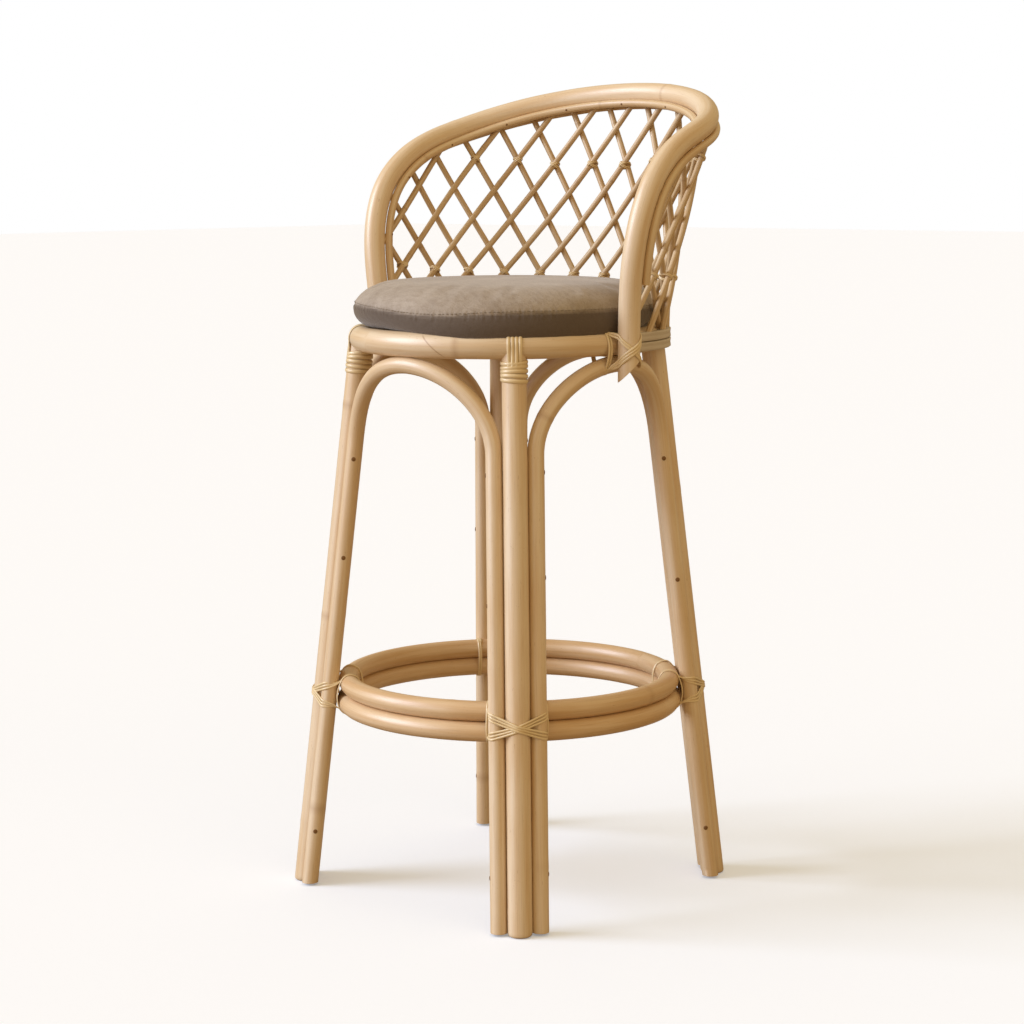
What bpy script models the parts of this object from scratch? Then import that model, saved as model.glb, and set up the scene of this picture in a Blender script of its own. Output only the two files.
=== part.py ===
"""Rattan bar stool with a hooped, latticed back and a two-ring footrest.

Metres, +Z up, the sitter faces -Y. The origin is on the floor under the middle of the stool's bounding box.
Angles called theta run round the seat's axis, from 0 at the rear (+Y) to +90 degrees at the sitter's +X side.
"""

import math

import bmesh
import bpy
import numpy as np

# ---- driving dimensions -------------------------------------------------------------------------
GAP = 0.0003                    # clearance kept where two pieces touch

RIM_Z = 0.700                   # centreline of the seat rim
RIM_R = 0.183
RIM_POLE = 0.0155               # pole radii
LEG_POLE = 0.0150
ARCH_POLE = 0.0103
RING_POLE = 0.0123
HOOP_POLE = 0.01356
STRIP_CANE = 0.0050
LATTICE_CANE = 0.00365
PEEL = 0.0013                   # radius of a binding strand
OVER = 0.0007                   # how far the second strand of a cross stands off the first

LEG_TOP_R = 0.1832              # distance of a leg's centreline from the seat axis, at rim height
LEG_FOOT_R = 0.2642             # and at the floor
LEG_THETAS = {"rear_right": 45, "rear_left": -45, "front_right": 135, "front_left": -135}
LEG_TOP_Z = RIM_Z - 0.0125      # the coped top reaches a little way up the rim's underside

ARCH_INSET = 0.0055             # the arch poles stand this far inside the leg poles
ARCH_SPRING_Z = 0.570           # height where an arch leaves its legs
ARCH_FOOT_Z = 0.0035
ARCH_THETAS = {"rear": 0, "right": 90, "front": 180, "left": -90}

RING_Z = 0.2493                 # where the two footrest rings touch
UPPER_RING_R = 0.2058
LOWER_RING_R = 0.2080

# Right half of the hoop's centreline, from the arm's foot to the middle of the back: (x, y from the seat axis, z)
HOOP_HALF = [
    (0.2120, -0.0143, 0.6620),
    (0.2120, -0.0143, 0.7150),
    (0.2212, -0.0146, 0.8180),
    (0.2255, 0.0119, 0.8915),
    (0.2219, 0.0635, 0.9351),
    (0.2105, 0.1307, 0.9614),
    (0.1668, 0.1893, 0.9844),
    (0.0922, 0.2304, 1.0014),
    (0.0, 0.2455, 1.0075),
]
# Each strip's centre from the hoop's: (across the lattice, inwards positive; towards the lattice)
STRIPS = {"inner": (0.0137, 0.0130), "outer": (-0.0105, 0.0155)}
STRIP_FOOT_Z = 0.7168

LATTICE_FOOT_Z = 0.715
LATTICE_FOOT_R = 0.1975         # middle of the two layers of cane at the foot
LATTICE_TUCK = 0.0016           # the same middle at the top, inwards from the hoop's centreline
LATTICE_LAYER = 0.0040          # each layer's centre from that middle
LATTICE_FLARE = 1.25            # how the lattice leans out on its way up
LATTICE_PITCH = 13.47           # degrees between canes of one layer
LATTICE_LEAN = 1.155            # degrees that the crossings drift towards +theta for each row up
PLUMB_ROW = 2.55                # the row whose crossings are symmetric about the rear
LATTICE_CANES = range(-7, 7)
INNER_CANE_FOOT_Z = 0.7205
OUTER_CANE_FOOT_Z = 0.7178

BAND_HEIGHT = 0.0118
BAND_IN = 0.1990
BAND_OUT = 0.2067
BAND_HALF_SPAN = 87             # degrees each side of the rear

CUSHION_FORWARD = 0.003
CUSHION_Z = RIM_Z + RIM_POLE + 0.0037   # it lies on the bindings that pass over the rim
# Half of the cushion's outline: (radius, height over its underside)
CUSHION_OUTLINE = [(0.176, 0.0), (0.187, 0.004), (0.1905, 0.011), (0.1895, 0.021),
                   (0.177, 0.034), (0.145, 0.046), (0.090, 0.054)]
CUSHION_CROWN = 0.057

BOARD_R = 0.1630
BOARD_Z = (0.7030, 0.7120)
BEARER_POLE = 0.0085
BEARER_YS = {"front": -0.062, "rear": 0.062}

WRAP_Z = (0.6550, 0.6830)       # peel wound round the top of each front leg
WRAP_THICK = 0.0025
STRAP_HALF_WIDTH = 0.0085
STRAP_THICK = 0.0014

BIND_CLEAR = 0.0020              # from a pole's surface to the middle of a strand that loops round it
FOOTREST_LOOP_TURN = 10.6       # degrees from a leg to the loops on each side of it
FOOTREST_CROSS_HALF = 0.0215    # half the height of the cross that strands make over a leg
ARM_LOOP_TURN = 5.6
ARM_CROSS_HALF = 0.0110
ARM_LOOP_FOOT_Z = 0.6580
STRAND_TUCK = 0.96              # a strand's ends lie inside its loops, at this share of the half height

LEG_SLOPE = (LEG_FOOT_R - LEG_TOP_R) / RIM_Z
ARCH_ASIDE = math.sqrt((LEG_POLE + ARCH_POLE + GAP) ** 2 - ARCH_INSET ** 2)
FRONT_REACH = LOWER_RING_R + RING_POLE
REAR_REACH = HOOP_HALF[-1][1] - STRIPS["outer"][0] + STRIP_CANE
SEAT_Y = (FRONT_REACH - REAR_REACH) / 2   # puts the origin under the middle of the bounding box


# ---- materials ----------------------------------------------------------------------------------
def finish(name, colour, roughness):
    material = bpy.data.materials.new(name)
    material.use_nodes = True
    shader = material.node_tree.nodes["Principled BSDF"]
    shader.inputs["Base Color"].default_value = (*colour, 1)
    shader.inputs["Roughness"].default_value = roughness
    shader.inputs["Metallic"].default_value = 0.0
    material.diffuse_color = (*colour, 1)
    return material


# ---- helpers ------------------------------------------------------------------------------------
def around(theta, radius, z):
    """A point at an angle round the seat's axis."""
    turn = math.radians(theta)
    return np.array([radius * math.sin(turn), SEAT_Y + radius * math.cos(turn), z])


def beside(theta, aside, radius, z):
    """A point `aside` along the tangent (towards larger theta) from the radius at theta."""
    turn = math.radians(theta)
    tangent = np.array([math.cos(turn), -math.sin(turn), 0.0])
    return around(theta, radius, z) + aside * tangent


def leg_radius(z):
    return LEG_FOOT_R - LEG_SLOPE * z


def spline_through(points, count):
    """`count` points along the natural cubic spline through the given ones, evenly spaced in chord length."""
    points = np.asarray(points, float)
    knots = np.concatenate([[0], np.cumsum(np.linalg.norm(np.diff(points, axis=0), axis=1))])
    n, h = len(points), np.diff(knots)
    matrix, right = np.eye(n), np.zeros_like(points)
    for i in range(1, n - 1):
        matrix[i, i - 1:i + 2] = h[i - 1], 2 * (h[i - 1] + h[i]), h[i]
        right[i] = 6 * ((points[i + 1] - points[i]) / h[i] - (points[i] - points[i - 1]) / h[i - 1])
    bend = np.linalg.solve(matrix, right)
    found = []
    for at in np.linspace(0, knots[-1], count):
        i = min(int(np.searchsorted(knots, at, "right")) - 1, n - 2)
        a, b = (knots[i + 1] - at) / h[i], (at - knots[i]) / h[i]
        found.append(a * points[i] + b * points[i + 1]
                     + ((a ** 3 - a) * bend[i] + (b ** 3 - b) * bend[i + 1]) * h[i] ** 2 / 6)
    return np.array(found)


def show(name, mesh, material):
    piece = bpy.data.objects.new(name, mesh)
    bpy.context.scene.collection.objects.link(piece)
    mesh.materials.clear()
    mesh.materials.append(material)
    mesh.shade_smooth()
    mesh.set_sharp_from_angle(angle=math.radians(40))
    return piece


def hide(name, mesh):
    """A helper for a Boolean, left out of the model."""
    helper = bpy.data.objects.new(name, mesh)
    bpy.context.scene.collection.objects.link(helper)
    helper.hide_render = True
    helper.display_type = "WIRE"
    return helper


def combine(piece, operation, helper):
    step = piece.modifiers.new(operation.lower(), "BOOLEAN")
    step.operation = operation
    step.object = helper


def rod_mesh(name, points, radius, sides, closed=False):
    """A round rod along the points, as a mesh with filled ends."""
    curve = bpy.data.curves.new(name, "CURVE")
    curve.dimensions = "3D"
    curve.bevel_depth = radius
    curve.bevel_resolution = (sides - 4) // 2
    curve.use_fill_caps = not closed
    spline = curve.splines.new("POLY")
    spline.points.add(len(points) - 1)
    for place, point in zip(spline.points, points):
        place.co = (*point, 1)
    spline.use_cyclic_u = closed
    source = bpy.data.objects.new(name, curve)
    bpy.context.scene.collection.objects.link(source)
    graph = bpy.context.evaluated_depsgraph_get()
    mesh = bpy.data.meshes.new_from_object(source.evaluated_get(graph))
    bpy.data.objects.remove(source)
    shape = bmesh.new()
    shape.from_mesh(mesh)
    bmesh.ops.remove_doubles(shape, verts=shape.verts, dist=1e-6)
    bmesh.ops.recalc_face_normals(shape, faces=shape.faces)
    shape.to_mesh(mesh)
    shape.free()
    return mesh


def lofted_mesh(name, rings, closed=False):
    """Equal rings of points joined in turn, the first and last filled unless the loft is closed."""
    shape = bmesh.new()
    loops = [[shape.verts.new(p) for p in ring] for ring in rings]
    pairs = list(zip(loops, loops[1:] + loops[:1])) if closed else list(zip(loops, loops[1:]))
    for low, high in pairs:
        for j in range(len(low)):
            k = (j + 1) % len(low)
            shape.faces.new((low[j], low[k], high[k], high[j]))
    if not closed:
        shape.faces.new(loops[0][::-1])
        shape.faces.new(loops[-1])
    bmesh.ops.recalc_face_normals(shape, faces=shape.faces)
    mesh = bpy.data.meshes.new(name)
    shape.to_mesh(mesh)
    shape.free()
    return mesh


def ring_mesh(name, radius, pole, z, around_count, sides):
    """A pole bent into a level ring round the seat's axis."""
    rings = []
    for i in range(around_count):
        theta = 360 * i / around_count
        turns = [2 * math.pi * j / sides for j in range(sides)]
        rings.append([around(theta, radius + pole * math.cos(t), z + pole * math.sin(t)) for t in turns])
    return lofted_mesh(name, rings, closed=True)


def leg_section(theta, radius, z, sides):
    """The level outline of a leaning pole of this radius: a little longer along the lean."""
    lean = math.sqrt(1 + LEG_SLOPE ** 2)
    turns = [2 * math.pi * j / sides for j in range(sides)]
    return [beside(theta, radius * math.sin(t), leg_radius(z) + radius * lean * math.cos(t), z) for t in turns]


# ---- start from an empty scene, and mix the finishes ---------------------------------------------
for startup in list(bpy.data.objects):
    bpy.data.objects.remove(startup)

RATTAN = finish("rattan_pole", (0.62, 0.41, 0.21), 0.42)
CANE = finish("lattice_cane", (0.56, 0.38, 0.19), 0.50)
SPLIT = finish("split_band", (0.46, 0.36, 0.25), 0.60)
BINDING = finish("peel_binding", (0.70, 0.52, 0.28), 0.48)
CLOTH = finish("cushion_cloth", (0.26, 0.21, 0.17), 0.85)
BOARD = finish("seat_board", (0.50, 0.36, 0.22), 0.65)


# ---- seat: rim, bearers, board and loose cushion --------------------------------------------------
def make_seat():
    show("seat_rim", ring_mesh("seat_rim", RIM_R, RIM_POLE, RIM_Z, 40, 12), RATTAN)
    board = [[around(360 * i / 36, BOARD_R, z) for i in range(36)] for z in BOARD_Z]
    show("seat_board", lofted_mesh("seat_board", board), BOARD)
    z = BOARD_Z[0] - BEARER_POLE - GAP
    reach = math.sqrt((RIM_R - RIM_POLE - GAP) ** 2 - (abs(BEARER_YS["rear"]) + BEARER_POLE) ** 2) - GAP
    for where, y in BEARER_YS.items():
        ends = [(-reach, SEAT_Y + y, z), (reach, SEAT_Y + y, z)]
        show(f"seat_bearer_{where}", rod_mesh("bearer", ends, BEARER_POLE, 8), RATTAN)


def make_cushion():
    steps = 32
    rings = [[around(360 * i / steps, r, CUSHION_Z + h) - np.array([0, CUSHION_FORWARD, 0]) for i in range(steps)]
             for r, h in CUSHION_OUTLINE]
    rings.append([around(360 * i / steps, 0.02, CUSHION_Z + CUSHION_CROWN) - np.array([0, CUSHION_FORWARD, 0])
                  for i in range(steps)])
    show("seat_cushion", lofted_mesh("seat_cushion", rings), CLOTH)


# ---- legs, arches and footrest --------------------------------------------------------------------
def make_legs():
    cope = hide("rim_cope_cutter", ring_mesh("cope", RIM_R, RIM_POLE + GAP, RIM_Z, 40, 12))
    for where, theta in LEG_THETAS.items():
        # (height, share of the pole's radius): the foot is rounded over, and flat where it stands
        stations = [(0.0, 0.60), (0.003, 0.86), (0.008, 1.0), (LEG_TOP_Z, 1.0)]
        rings = [leg_section(theta, LEG_POLE * share, z, 12) for z, share in stations]
        leg = show(f"leg_{where}", lofted_mesh("leg", rings), RATTAN)
        combine(leg, "DIFFERENCE", cope)


def arch_path():
    """Half of an arch, from the foot to the apex: (along the tangent, outwards, height)."""
    def upright(z):
        out = (leg_radius(z) - ARCH_INSET) / math.sqrt(2)
        step = ARCH_ASIDE / math.sqrt(2)
        return np.array([out - step, out + step, z])
    spring = upright(ARCH_SPRING_Z)
    apex = np.array([0.0, RIM_R, RIM_Z - RIM_POLE - ARCH_POLE - GAP])
    climb = upright(ARCH_SPRING_Z) - upright(ARCH_SPRING_Z - 0.1)
    rise = apex[2] - spring[2]
    quarter = 0.5523            # a Bezier handle that makes a quarter circle
    first = spring + climb / climb[2] * rise * quarter
    second = apex + np.array([spring[0] * quarter, 0, 0])
    path = [upright(ARCH_FOOT_Z), upright((ARCH_FOOT_Z + ARCH_SPRING_Z) / 2)]
    for i in range(13):
        s = i / 12
        path.append((1 - s) ** 3 * spring + 3 * (1 - s) ** 2 * s * first + 3 * (1 - s) * s ** 2 * second + s ** 3 * apex)
    return path


def make_arches():
    half = arch_path()
    for where, theta in ARCH_THETAS.items():
        across = [(u, w, z) for u, w, z in half] + [(-u, w, z) for u, w, z in half[-2::-1]]
        points = [beside(theta, u, w, z) for u, w, z in across]
        show(f"arch_{where}", rod_mesh("arch", points, ARCH_POLE, 8), RATTAN)


def make_footrest():
    lift = RING_POLE + GAP / 2
    show("footrest_ring_upper", ring_mesh("ring", UPPER_RING_R, RING_POLE, RING_Z + lift, 36, 8), RATTAN)
    show("footrest_ring_lower", ring_mesh("ring", LOWER_RING_R, RING_POLE, RING_Z - lift, 36, 8), RATTAN)


# ---- back: hoop, strips, lattice and bands -----------------------------------------------------------
def hoop_path(count):
    half = [np.array([x, SEAT_Y + y, z]) for x, y, z in HOOP_HALF]
    other = [p * np.array([-1, 1, 1]) for p in half[-2::-1]]
    return spline_through(half + other, count)


def strip_path(hoop, across, towards):
    """The hoop's path moved across the lattice, inwards positive, and towards it."""
    tangents = np.gradient(hoop, axis=0)
    tangents /= np.linalg.norm(tangents, axis=1)[:, None]
    lattice_middle = np.array([0, SEAT_Y + 0.15, 0.84])
    path = []
    for point, tangent in zip(hoop, tangents):
        inward = np.array([-point[0], SEAT_Y - point[1], 0])
        inward -= tangent * inward.dot(tangent)
        inward /= np.linalg.norm(inward)
        along = np.cross(inward, tangent)
        along *= math.copysign(1, along.dot(lattice_middle - point))
        path.append(point + across * inward + towards * along)
    return [p for p in path if p[2] > STRIP_FOOT_Z]


def hoop_profile(hoop):
    """The hoop's theta, radius and height, from the middle of the back to the arm, where its height stops rising."""
    half = hoop[:len(hoop) // 2 + 1][::-1]
    half = half[half[:, 2] > 0.80]
    theta = np.degrees(np.arctan2(half[:, 0], half[:, 1] - SEAT_Y))
    radius = np.hypot(half[:, 0], half[:, 1] - SEAT_Y)
    return np.maximum.accumulate(theta), radius, half[:, 2]


def lattice_point(theta, z, layer, profile):
    """A point in the lattice, which leans out from the rim to meet the underside of the hoop."""
    top_r = np.interp(abs(theta), profile[0], profile[1]) - LATTICE_TUCK
    hoop_z = np.interp(abs(theta), profile[0], profile[2])
    climbed = min(max((z - LATTICE_FOOT_Z) / (hoop_z - 0.016 - LATTICE_FOOT_Z), 0), 1)
    radius = LATTICE_FOOT_R + (top_r - LATTICE_FOOT_R) * climbed ** LATTICE_FLARE
    return around(theta, radius + layer, z), z < hoop_z


def row_height(row, theta):
    """Height of a row of crossings: the rows open out on the way up, and rise a little towards the arms."""
    return 0.7708 + 0.0316 * row + 0.00135 * row ** 2 + 0.014 * (theta / 90) ** 2


def cane_path(index, slant, foot_z, layer, profile, hoop, strips):
    """One cane: it moves half a pitch round the seat for each row it climbs."""
    runs = [[]]
    for row in np.arange(-2.2, 7.0, 0.05):
        theta = slant * (LATTICE_PITCH * index + LATTICE_PITCH / 2 * row) + LATTICE_LEAN * (row - PLUMB_ROW)
        z = row_height(row, theta)
        point, under = lattice_point(theta, z, layer, profile)
        clear = np.linalg.norm(hoop - point, axis=1).min() > HOOP_POLE + 0.0030
        clear &= all(np.linalg.norm(s - point, axis=1).min() > STRIP_CANE + LATTICE_CANE + 0.0008 for s in strips)
        if abs(theta) < 93 and z > foot_z and under and clear:
            runs[-1].append(point)
        else:
            runs.append([])
    kept = max(runs, key=len)
    chosen = np.linspace(0, len(kept) - 1, max(4, len(kept) // 12)).round().astype(int)
    return [kept[i] for i in chosen]


def make_back():
    hoop = hoop_path(61)
    show("back_hoop", rod_mesh("hoop", hoop_path(53), HOOP_POLE, 10), RATTAN)
    for name, offsets in STRIPS.items():
        show(f"hoop_strip_{name}", rod_mesh("strip", strip_path(hoop, *offsets), STRIP_CANE, 6), RATTAN)
    fine = hoop_path(601)
    edges = [np.array(strip_path(fine, *offsets)) for offsets in STRIPS.values()]
    profile = hoop_profile(fine)
    layers = {"inner": (1, INNER_CANE_FOOT_Z, -LATTICE_LAYER), "outer": (-1, OUTER_CANE_FOOT_Z, LATTICE_LAYER)}
    for layer_name, (slant, foot_z, layer) in layers.items():
        for number, index in enumerate(LATTICE_CANES, start=1):
            path = cane_path(index, slant, foot_z, layer, profile, fine, edges)
            show(f"lattice_cane_{layer_name}_{number:02d}", rod_mesh("cane", path, LATTICE_CANE, 6), CANE)


def make_bands():
    """Two flat bands of split cane, one over the other, round the rear of the rim."""
    # (share of the thickness, share of the height): flat inside, rounded outside
    outline = [(0, 0), (0.75, 0), (1, 0.25), (1, 0.75), (0.75, 1), (0, 1)]
    steps = 28
    for name, low in (("split_band_upper", RIM_Z + GAP / 2), ("split_band_lower", RIM_Z - BAND_HEIGHT - GAP / 2)):
        thetas = [BAND_HALF_SPAN * (2 * i / steps - 1) for i in range(steps + 1)]
        rings = [[around(theta, BAND_IN + (BAND_OUT - BAND_IN) * u, low + BAND_HEIGHT * v) for u, v in outline]
                 for theta in thetas]
        show(name, lofted_mesh(name, rings), SPLIT)


# ---- peel bindings -----------------------------------------------------------------------------------
def make_leg_wraps():
    """Peel wound round a front leg's top, with a strap of it over the rim."""
    # The strap's inner face, from outside the leg over the rim to inside: (from the rim's centreline, height)
    arc = [math.radians(180 * i / 10) for i in range(11)]
    hug = RIM_POLE + 0.0008
    inner = [(0.0178, 0.679), (0.0170, 0.6885)]
    inner += [(hug * math.cos(a), RIM_Z + hug * math.sin(a)) for a in arc]
    inner += [(-0.0142, 0.6885), (-0.0133, 0.679)]
    grown = (hug + STRAP_THICK) / hug
    outer = [(x + math.copysign(STRAP_THICK, x), z) if z < RIM_Z else (x * grown, RIM_Z + (z - RIM_Z) * grown)
             for x, z in inner]
    outline = inner + outer[::-1]
    for where in ("front_right", "front_left"):
        theta = LEG_THETAS[where]
        hole = LEG_POLE + GAP
        stations = [(WRAP_Z[0], hole), (WRAP_Z[0], hole + WRAP_THICK), (WRAP_Z[1], hole + WRAP_THICK), (WRAP_Z[1], hole)]
        rings = [leg_section(theta, radius, z, 16) for z, radius in stations]
        wrap = show(f"leg_wrap_{where}", lofted_mesh("wrap", rings, closed=True), BINDING)
        sides = [[beside(theta, aside, RIM_R + x, z) for x, z in outline] for aside in (-STRAP_HALF_WIDTH, STRAP_HALF_WIDTH)]
        combine(wrap, "UNION", hide(f"strap_helper_{where}", lofted_mesh("strap", sides)))


def loop_around(theta, radii, heights):
    """A closed strand standing on edge round whatever lies between two radii and two heights."""
    (inside, outside), (low, high) = radii, heights
    cut = 0.005
    corners = [(inside, low + cut), (inside, high - cut), (inside + cut, high), (outside - cut, high),
               (outside, high - cut), (outside, low + cut), (outside - cut, low), (inside + cut, low)]
    return [around(theta, radius, z) for radius, z in corners]


def make_binding(name, strands, loops):
    """Strands that cross over the poles, joined to a loop each side."""
    rods = [(loop, True) for loop in loops] + [(strand, False) for strand in strands]
    piece = show(name, rod_mesh("loop", rods[0][0], PEEL, 6, rods[0][1]), BINDING)
    for number, (points, closed) in enumerate(rods[1:]):
        combine(piece, "UNION", hide(f"{name}_strand_{number}", rod_mesh("strand", points, PEEL, 6, closed)))


def make_footrest_bindings():
    low, high = (RING_Z + side * (2 * RING_POLE + BIND_CLEAR) for side in (-1, 1))
    inside, outside = UPPER_RING_R - RING_POLE - BIND_CLEAR, LOWER_RING_R + RING_POLE + BIND_CLEAR
    turn, tall = FOOTREST_LOOP_TURN, FOOTREST_CROSS_HALF
    for where, theta in LEG_THETAS.items():
        loops = [loop_around(theta + side * turn, (inside, outside), (low, high)) for side in (-1, 1)]
        strands = []
        for tilt in (-1, 1):
            # (aside, outwards from the leg's centreline, share of the strand's half height)
            half = [(-0.0350, 0.0008, 0.86), (-0.0292, 0.0072, 0.72), (-0.0090, 0.0152, 0.25), (0, 0.0170, 0)]
            path = [around(theta - turn, outside, RING_Z + tilt * tall * STRAND_TUCK)]
            for u, w, share in half + [(-u, w, -share) for u, w, share in half[-2::-1]]:
                z = RING_Z + tilt * tall * share
                path.append(beside(theta, u, leg_radius(z) + w + OVER * (tilt > 0), z))
            path.append(around(theta + turn, outside, RING_Z - tilt * tall * STRAND_TUCK))
            strands.append(path)
        make_binding(f"footrest_binding_{where}", strands, loops)


def make_arm_bindings():
    foot_theta = math.degrees(math.atan2(HOOP_HALF[1][0], HOOP_HALF[1][1]))
    foot_r = math.hypot(HOOP_HALF[1][0], HOOP_HALF[1][1])
    heights = (ARM_LOOP_FOOT_Z, RIM_Z + RIM_POLE + BIND_CLEAR)
    inside, outside = RIM_R - RIM_POLE - BIND_CLEAR, RIM_R + RIM_POLE + BIND_CLEAR
    turn, tall = ARM_LOOP_TURN, ARM_CROSS_HALF
    corners = (76, 38, 0)       # degrees round the arm's foot where a strand bends
    bow = (HOOP_POLE + PEEL + 0.0005) / math.cos(math.radians(corners[1] / 2))
    for where, side in (("right", 1), ("left", -1)):
        loops = [loop_around(side * foot_theta + step, (inside, outside), heights) for step in (-turn, turn)]
        strands = []
        for tilt in (-1, 1):
            half = [(-bow * math.sin(math.radians(a)), bow * math.cos(math.radians(a)), a / 100) for a in corners]
            path = [around(side * foot_theta - turn, outside, RIM_Z + tilt * tall * STRAND_TUCK)]
            path += [beside(side * foot_theta, u, foot_r + w + OVER * (tilt > 0), RIM_Z + tilt * tall * share)
                     for u, w, share in half + [(-u, w, -share) for u, w, share in half[-2::-1]]]
            path.append(around(side * foot_theta + turn, outside, RIM_Z - tilt * tall * STRAND_TUCK))
            strands.append(path)
        make_binding(f"arm_binding_{where}", strands, loops)


make_seat()
make_cushion()
make_legs()
make_arches()
make_footrest()
make_back()
make_bands()
make_leg_wraps()
make_footrest_bindings()
make_arm_bindings()
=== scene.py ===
# %% [markdown]
# # A rattan bar stool
# The stool is bent poles, thin canes, strips of peel and one loose cushion. Its structure is already
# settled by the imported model; here each piece gets its final surface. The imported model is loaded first, and
# every size and place below is read from it or repeated from its few driving dimensions.

# %% Load the frame and keep its box
import math

import bmesh
import bpy
import numpy as np
from mathutils import Matrix, Vector


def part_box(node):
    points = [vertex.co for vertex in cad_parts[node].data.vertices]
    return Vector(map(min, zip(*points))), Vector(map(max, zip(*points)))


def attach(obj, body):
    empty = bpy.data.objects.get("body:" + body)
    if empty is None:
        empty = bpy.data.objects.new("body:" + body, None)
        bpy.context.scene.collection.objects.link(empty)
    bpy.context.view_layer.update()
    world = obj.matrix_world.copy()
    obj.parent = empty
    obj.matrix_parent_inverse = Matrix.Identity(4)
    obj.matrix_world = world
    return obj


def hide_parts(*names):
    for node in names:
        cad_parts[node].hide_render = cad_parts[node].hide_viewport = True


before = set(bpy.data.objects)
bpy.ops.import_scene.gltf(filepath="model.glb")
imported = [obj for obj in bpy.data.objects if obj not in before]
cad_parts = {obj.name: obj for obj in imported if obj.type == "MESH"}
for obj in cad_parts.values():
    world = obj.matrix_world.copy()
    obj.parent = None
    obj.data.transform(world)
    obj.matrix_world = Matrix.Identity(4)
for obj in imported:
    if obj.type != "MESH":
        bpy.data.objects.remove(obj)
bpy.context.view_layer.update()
scene = bpy.context.scene
scene.view_settings.view_transform = "Standard"

rim_low, rim_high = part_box("seat_rim")
RIM_Z = (rim_low.z + rim_high.z) / 2
RIM_POLE = (rim_high.z - rim_low.z) / 2
SEAT_Y = (rim_low.y + rim_high.y) / 2
RIM_R = (rim_high.x - rim_low.x) / 2 - RIM_POLE
print(f"rim centreline {RIM_R:.4f} m, height {RIM_Z:.4f} m, seat axis y {SEAT_Y:.4f} m")


# %% [markdown]
# Much of the stool is placed round the seat's axis, so two helpers give points by angle. Theta is 0 at the
# rear and grows towards the +X side. `beside` steps off sideways along the tangent, which is how a maker
# thinks of a pole that stands next to a leg.

# %% Points round the seat
def around(theta, radius, z):
    turn = math.radians(theta)
    return np.array([radius * math.sin(turn), SEAT_Y + radius * math.cos(turn), z])


def tangent_at(theta):
    turn = math.radians(theta)
    return np.array([math.cos(turn), -math.sin(turn), 0.0])


def outward_at(theta):
    turn = math.radians(theta)
    return np.array([math.sin(turn), math.cos(turn), 0.0])


def beside(theta, aside, radius, z):
    return around(theta, radius, z) + aside * tangent_at(theta)


def unit(vectors):
    vectors = np.asarray(vectors, float)
    return vectors / np.linalg.norm(vectors, axis=-1, keepdims=True)


def spline_through(points, count):
    """`count` rows along the natural cubic spline through the given rows, evenly spaced by chord length."""
    points = np.asarray(points, float)
    knots = np.concatenate([[0], np.cumsum(np.linalg.norm(np.diff(points[:, :3], axis=0), axis=1))])
    n, h = len(points), np.diff(knots)
    matrix, right = np.eye(n), np.zeros_like(points)
    for i in range(1, n - 1):
        matrix[i, i - 1:i + 2] = h[i - 1], 2 * (h[i - 1] + h[i]), h[i]
        right[i] = 6 * ((points[i + 1] - points[i]) / h[i] - (points[i] - points[i - 1]) / h[i - 1])
    bend = np.linalg.solve(matrix, right)
    found = []
    for at in np.linspace(0, knots[-1], count):
        i = min(int(np.searchsorted(knots, at, "right")) - 1, n - 2)
        a, b = (knots[i + 1] - at) / h[i], (at - knots[i]) / h[i]
        found.append(a * points[i] + b * points[i + 1]
                     + ((a ** 3 - a) * bend[i] + (b ** 3 - b) * bend[i + 1]) * h[i] ** 2 / 6)
    return np.array(found)


# %% [markdown]
# The camera stands in front of the stool and to its left side, a little above the hoop's arms, with a long
# lens. Its place is given from the seat's axis: a bearing, a distance and a height, then small turns of the
# head.

# %% Camera
CAMERA_BEARING = math.radians(42.485)
CAMERA_DISTANCE = 3.1754
CAMERA_HEIGHT = 0.9057
CAMERA_PITCH = math.radians(7.702)
CAMERA_ROLL = math.radians(-0.310)
CAMERA_YAW = math.radians(0.0908)
CAMERA_LENS = 88.37
SENSOR_WIDTH = 36
# level directions as the viewer has them: towards the viewer, and to the viewer's right
NEAR = np.array([math.sin(CAMERA_BEARING), -math.cos(CAMERA_BEARING), 0])
RIGHT = np.array([math.cos(CAMERA_BEARING), math.sin(CAMERA_BEARING), 0])


def make_camera():
    data = bpy.data.cameras.new("camera")
    data.sensor_width = SENSOR_WIDTH
    data.lens = CAMERA_LENS
    camera = bpy.data.objects.new("camera", data)
    scene.collection.objects.link(camera)
    level = -NEAR * math.cos(CAMERA_YAW) + RIGHT * math.sin(CAMERA_YAW)
    right = RIGHT * math.cos(CAMERA_YAW) + NEAR * math.sin(CAMERA_YAW)
    ahead = level * math.cos(CAMERA_PITCH) - np.array([0, 0, math.sin(CAMERA_PITCH)])
    up = np.cross(right, ahead)
    tilted_right = right * math.cos(CAMERA_ROLL) + up * math.sin(CAMERA_ROLL)
    tilted_up = up * math.cos(CAMERA_ROLL) - right * math.sin(CAMERA_ROLL)
    turn = Matrix([list(axis) for axis in (tilted_right, tilted_up, -ahead)]).transposed().to_4x4()
    place = NEAR * CAMERA_DISTANCE + np.array([0, SEAT_Y, CAMERA_HEIGHT])
    camera.matrix_world = Matrix.Translation(Vector(place)) @ turn
    scene.camera = camera


make_camera()


# %% [markdown]
# Materials are written as arithmetic. `Value` wraps one socket and turns `+ - * /` into Math nodes, so a
# mask reads like a formula. `Graph.add` makes every other node: its settings first, then the values or
# links of its sockets. The same two classes build the Geometry Nodes trees further down.

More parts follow.
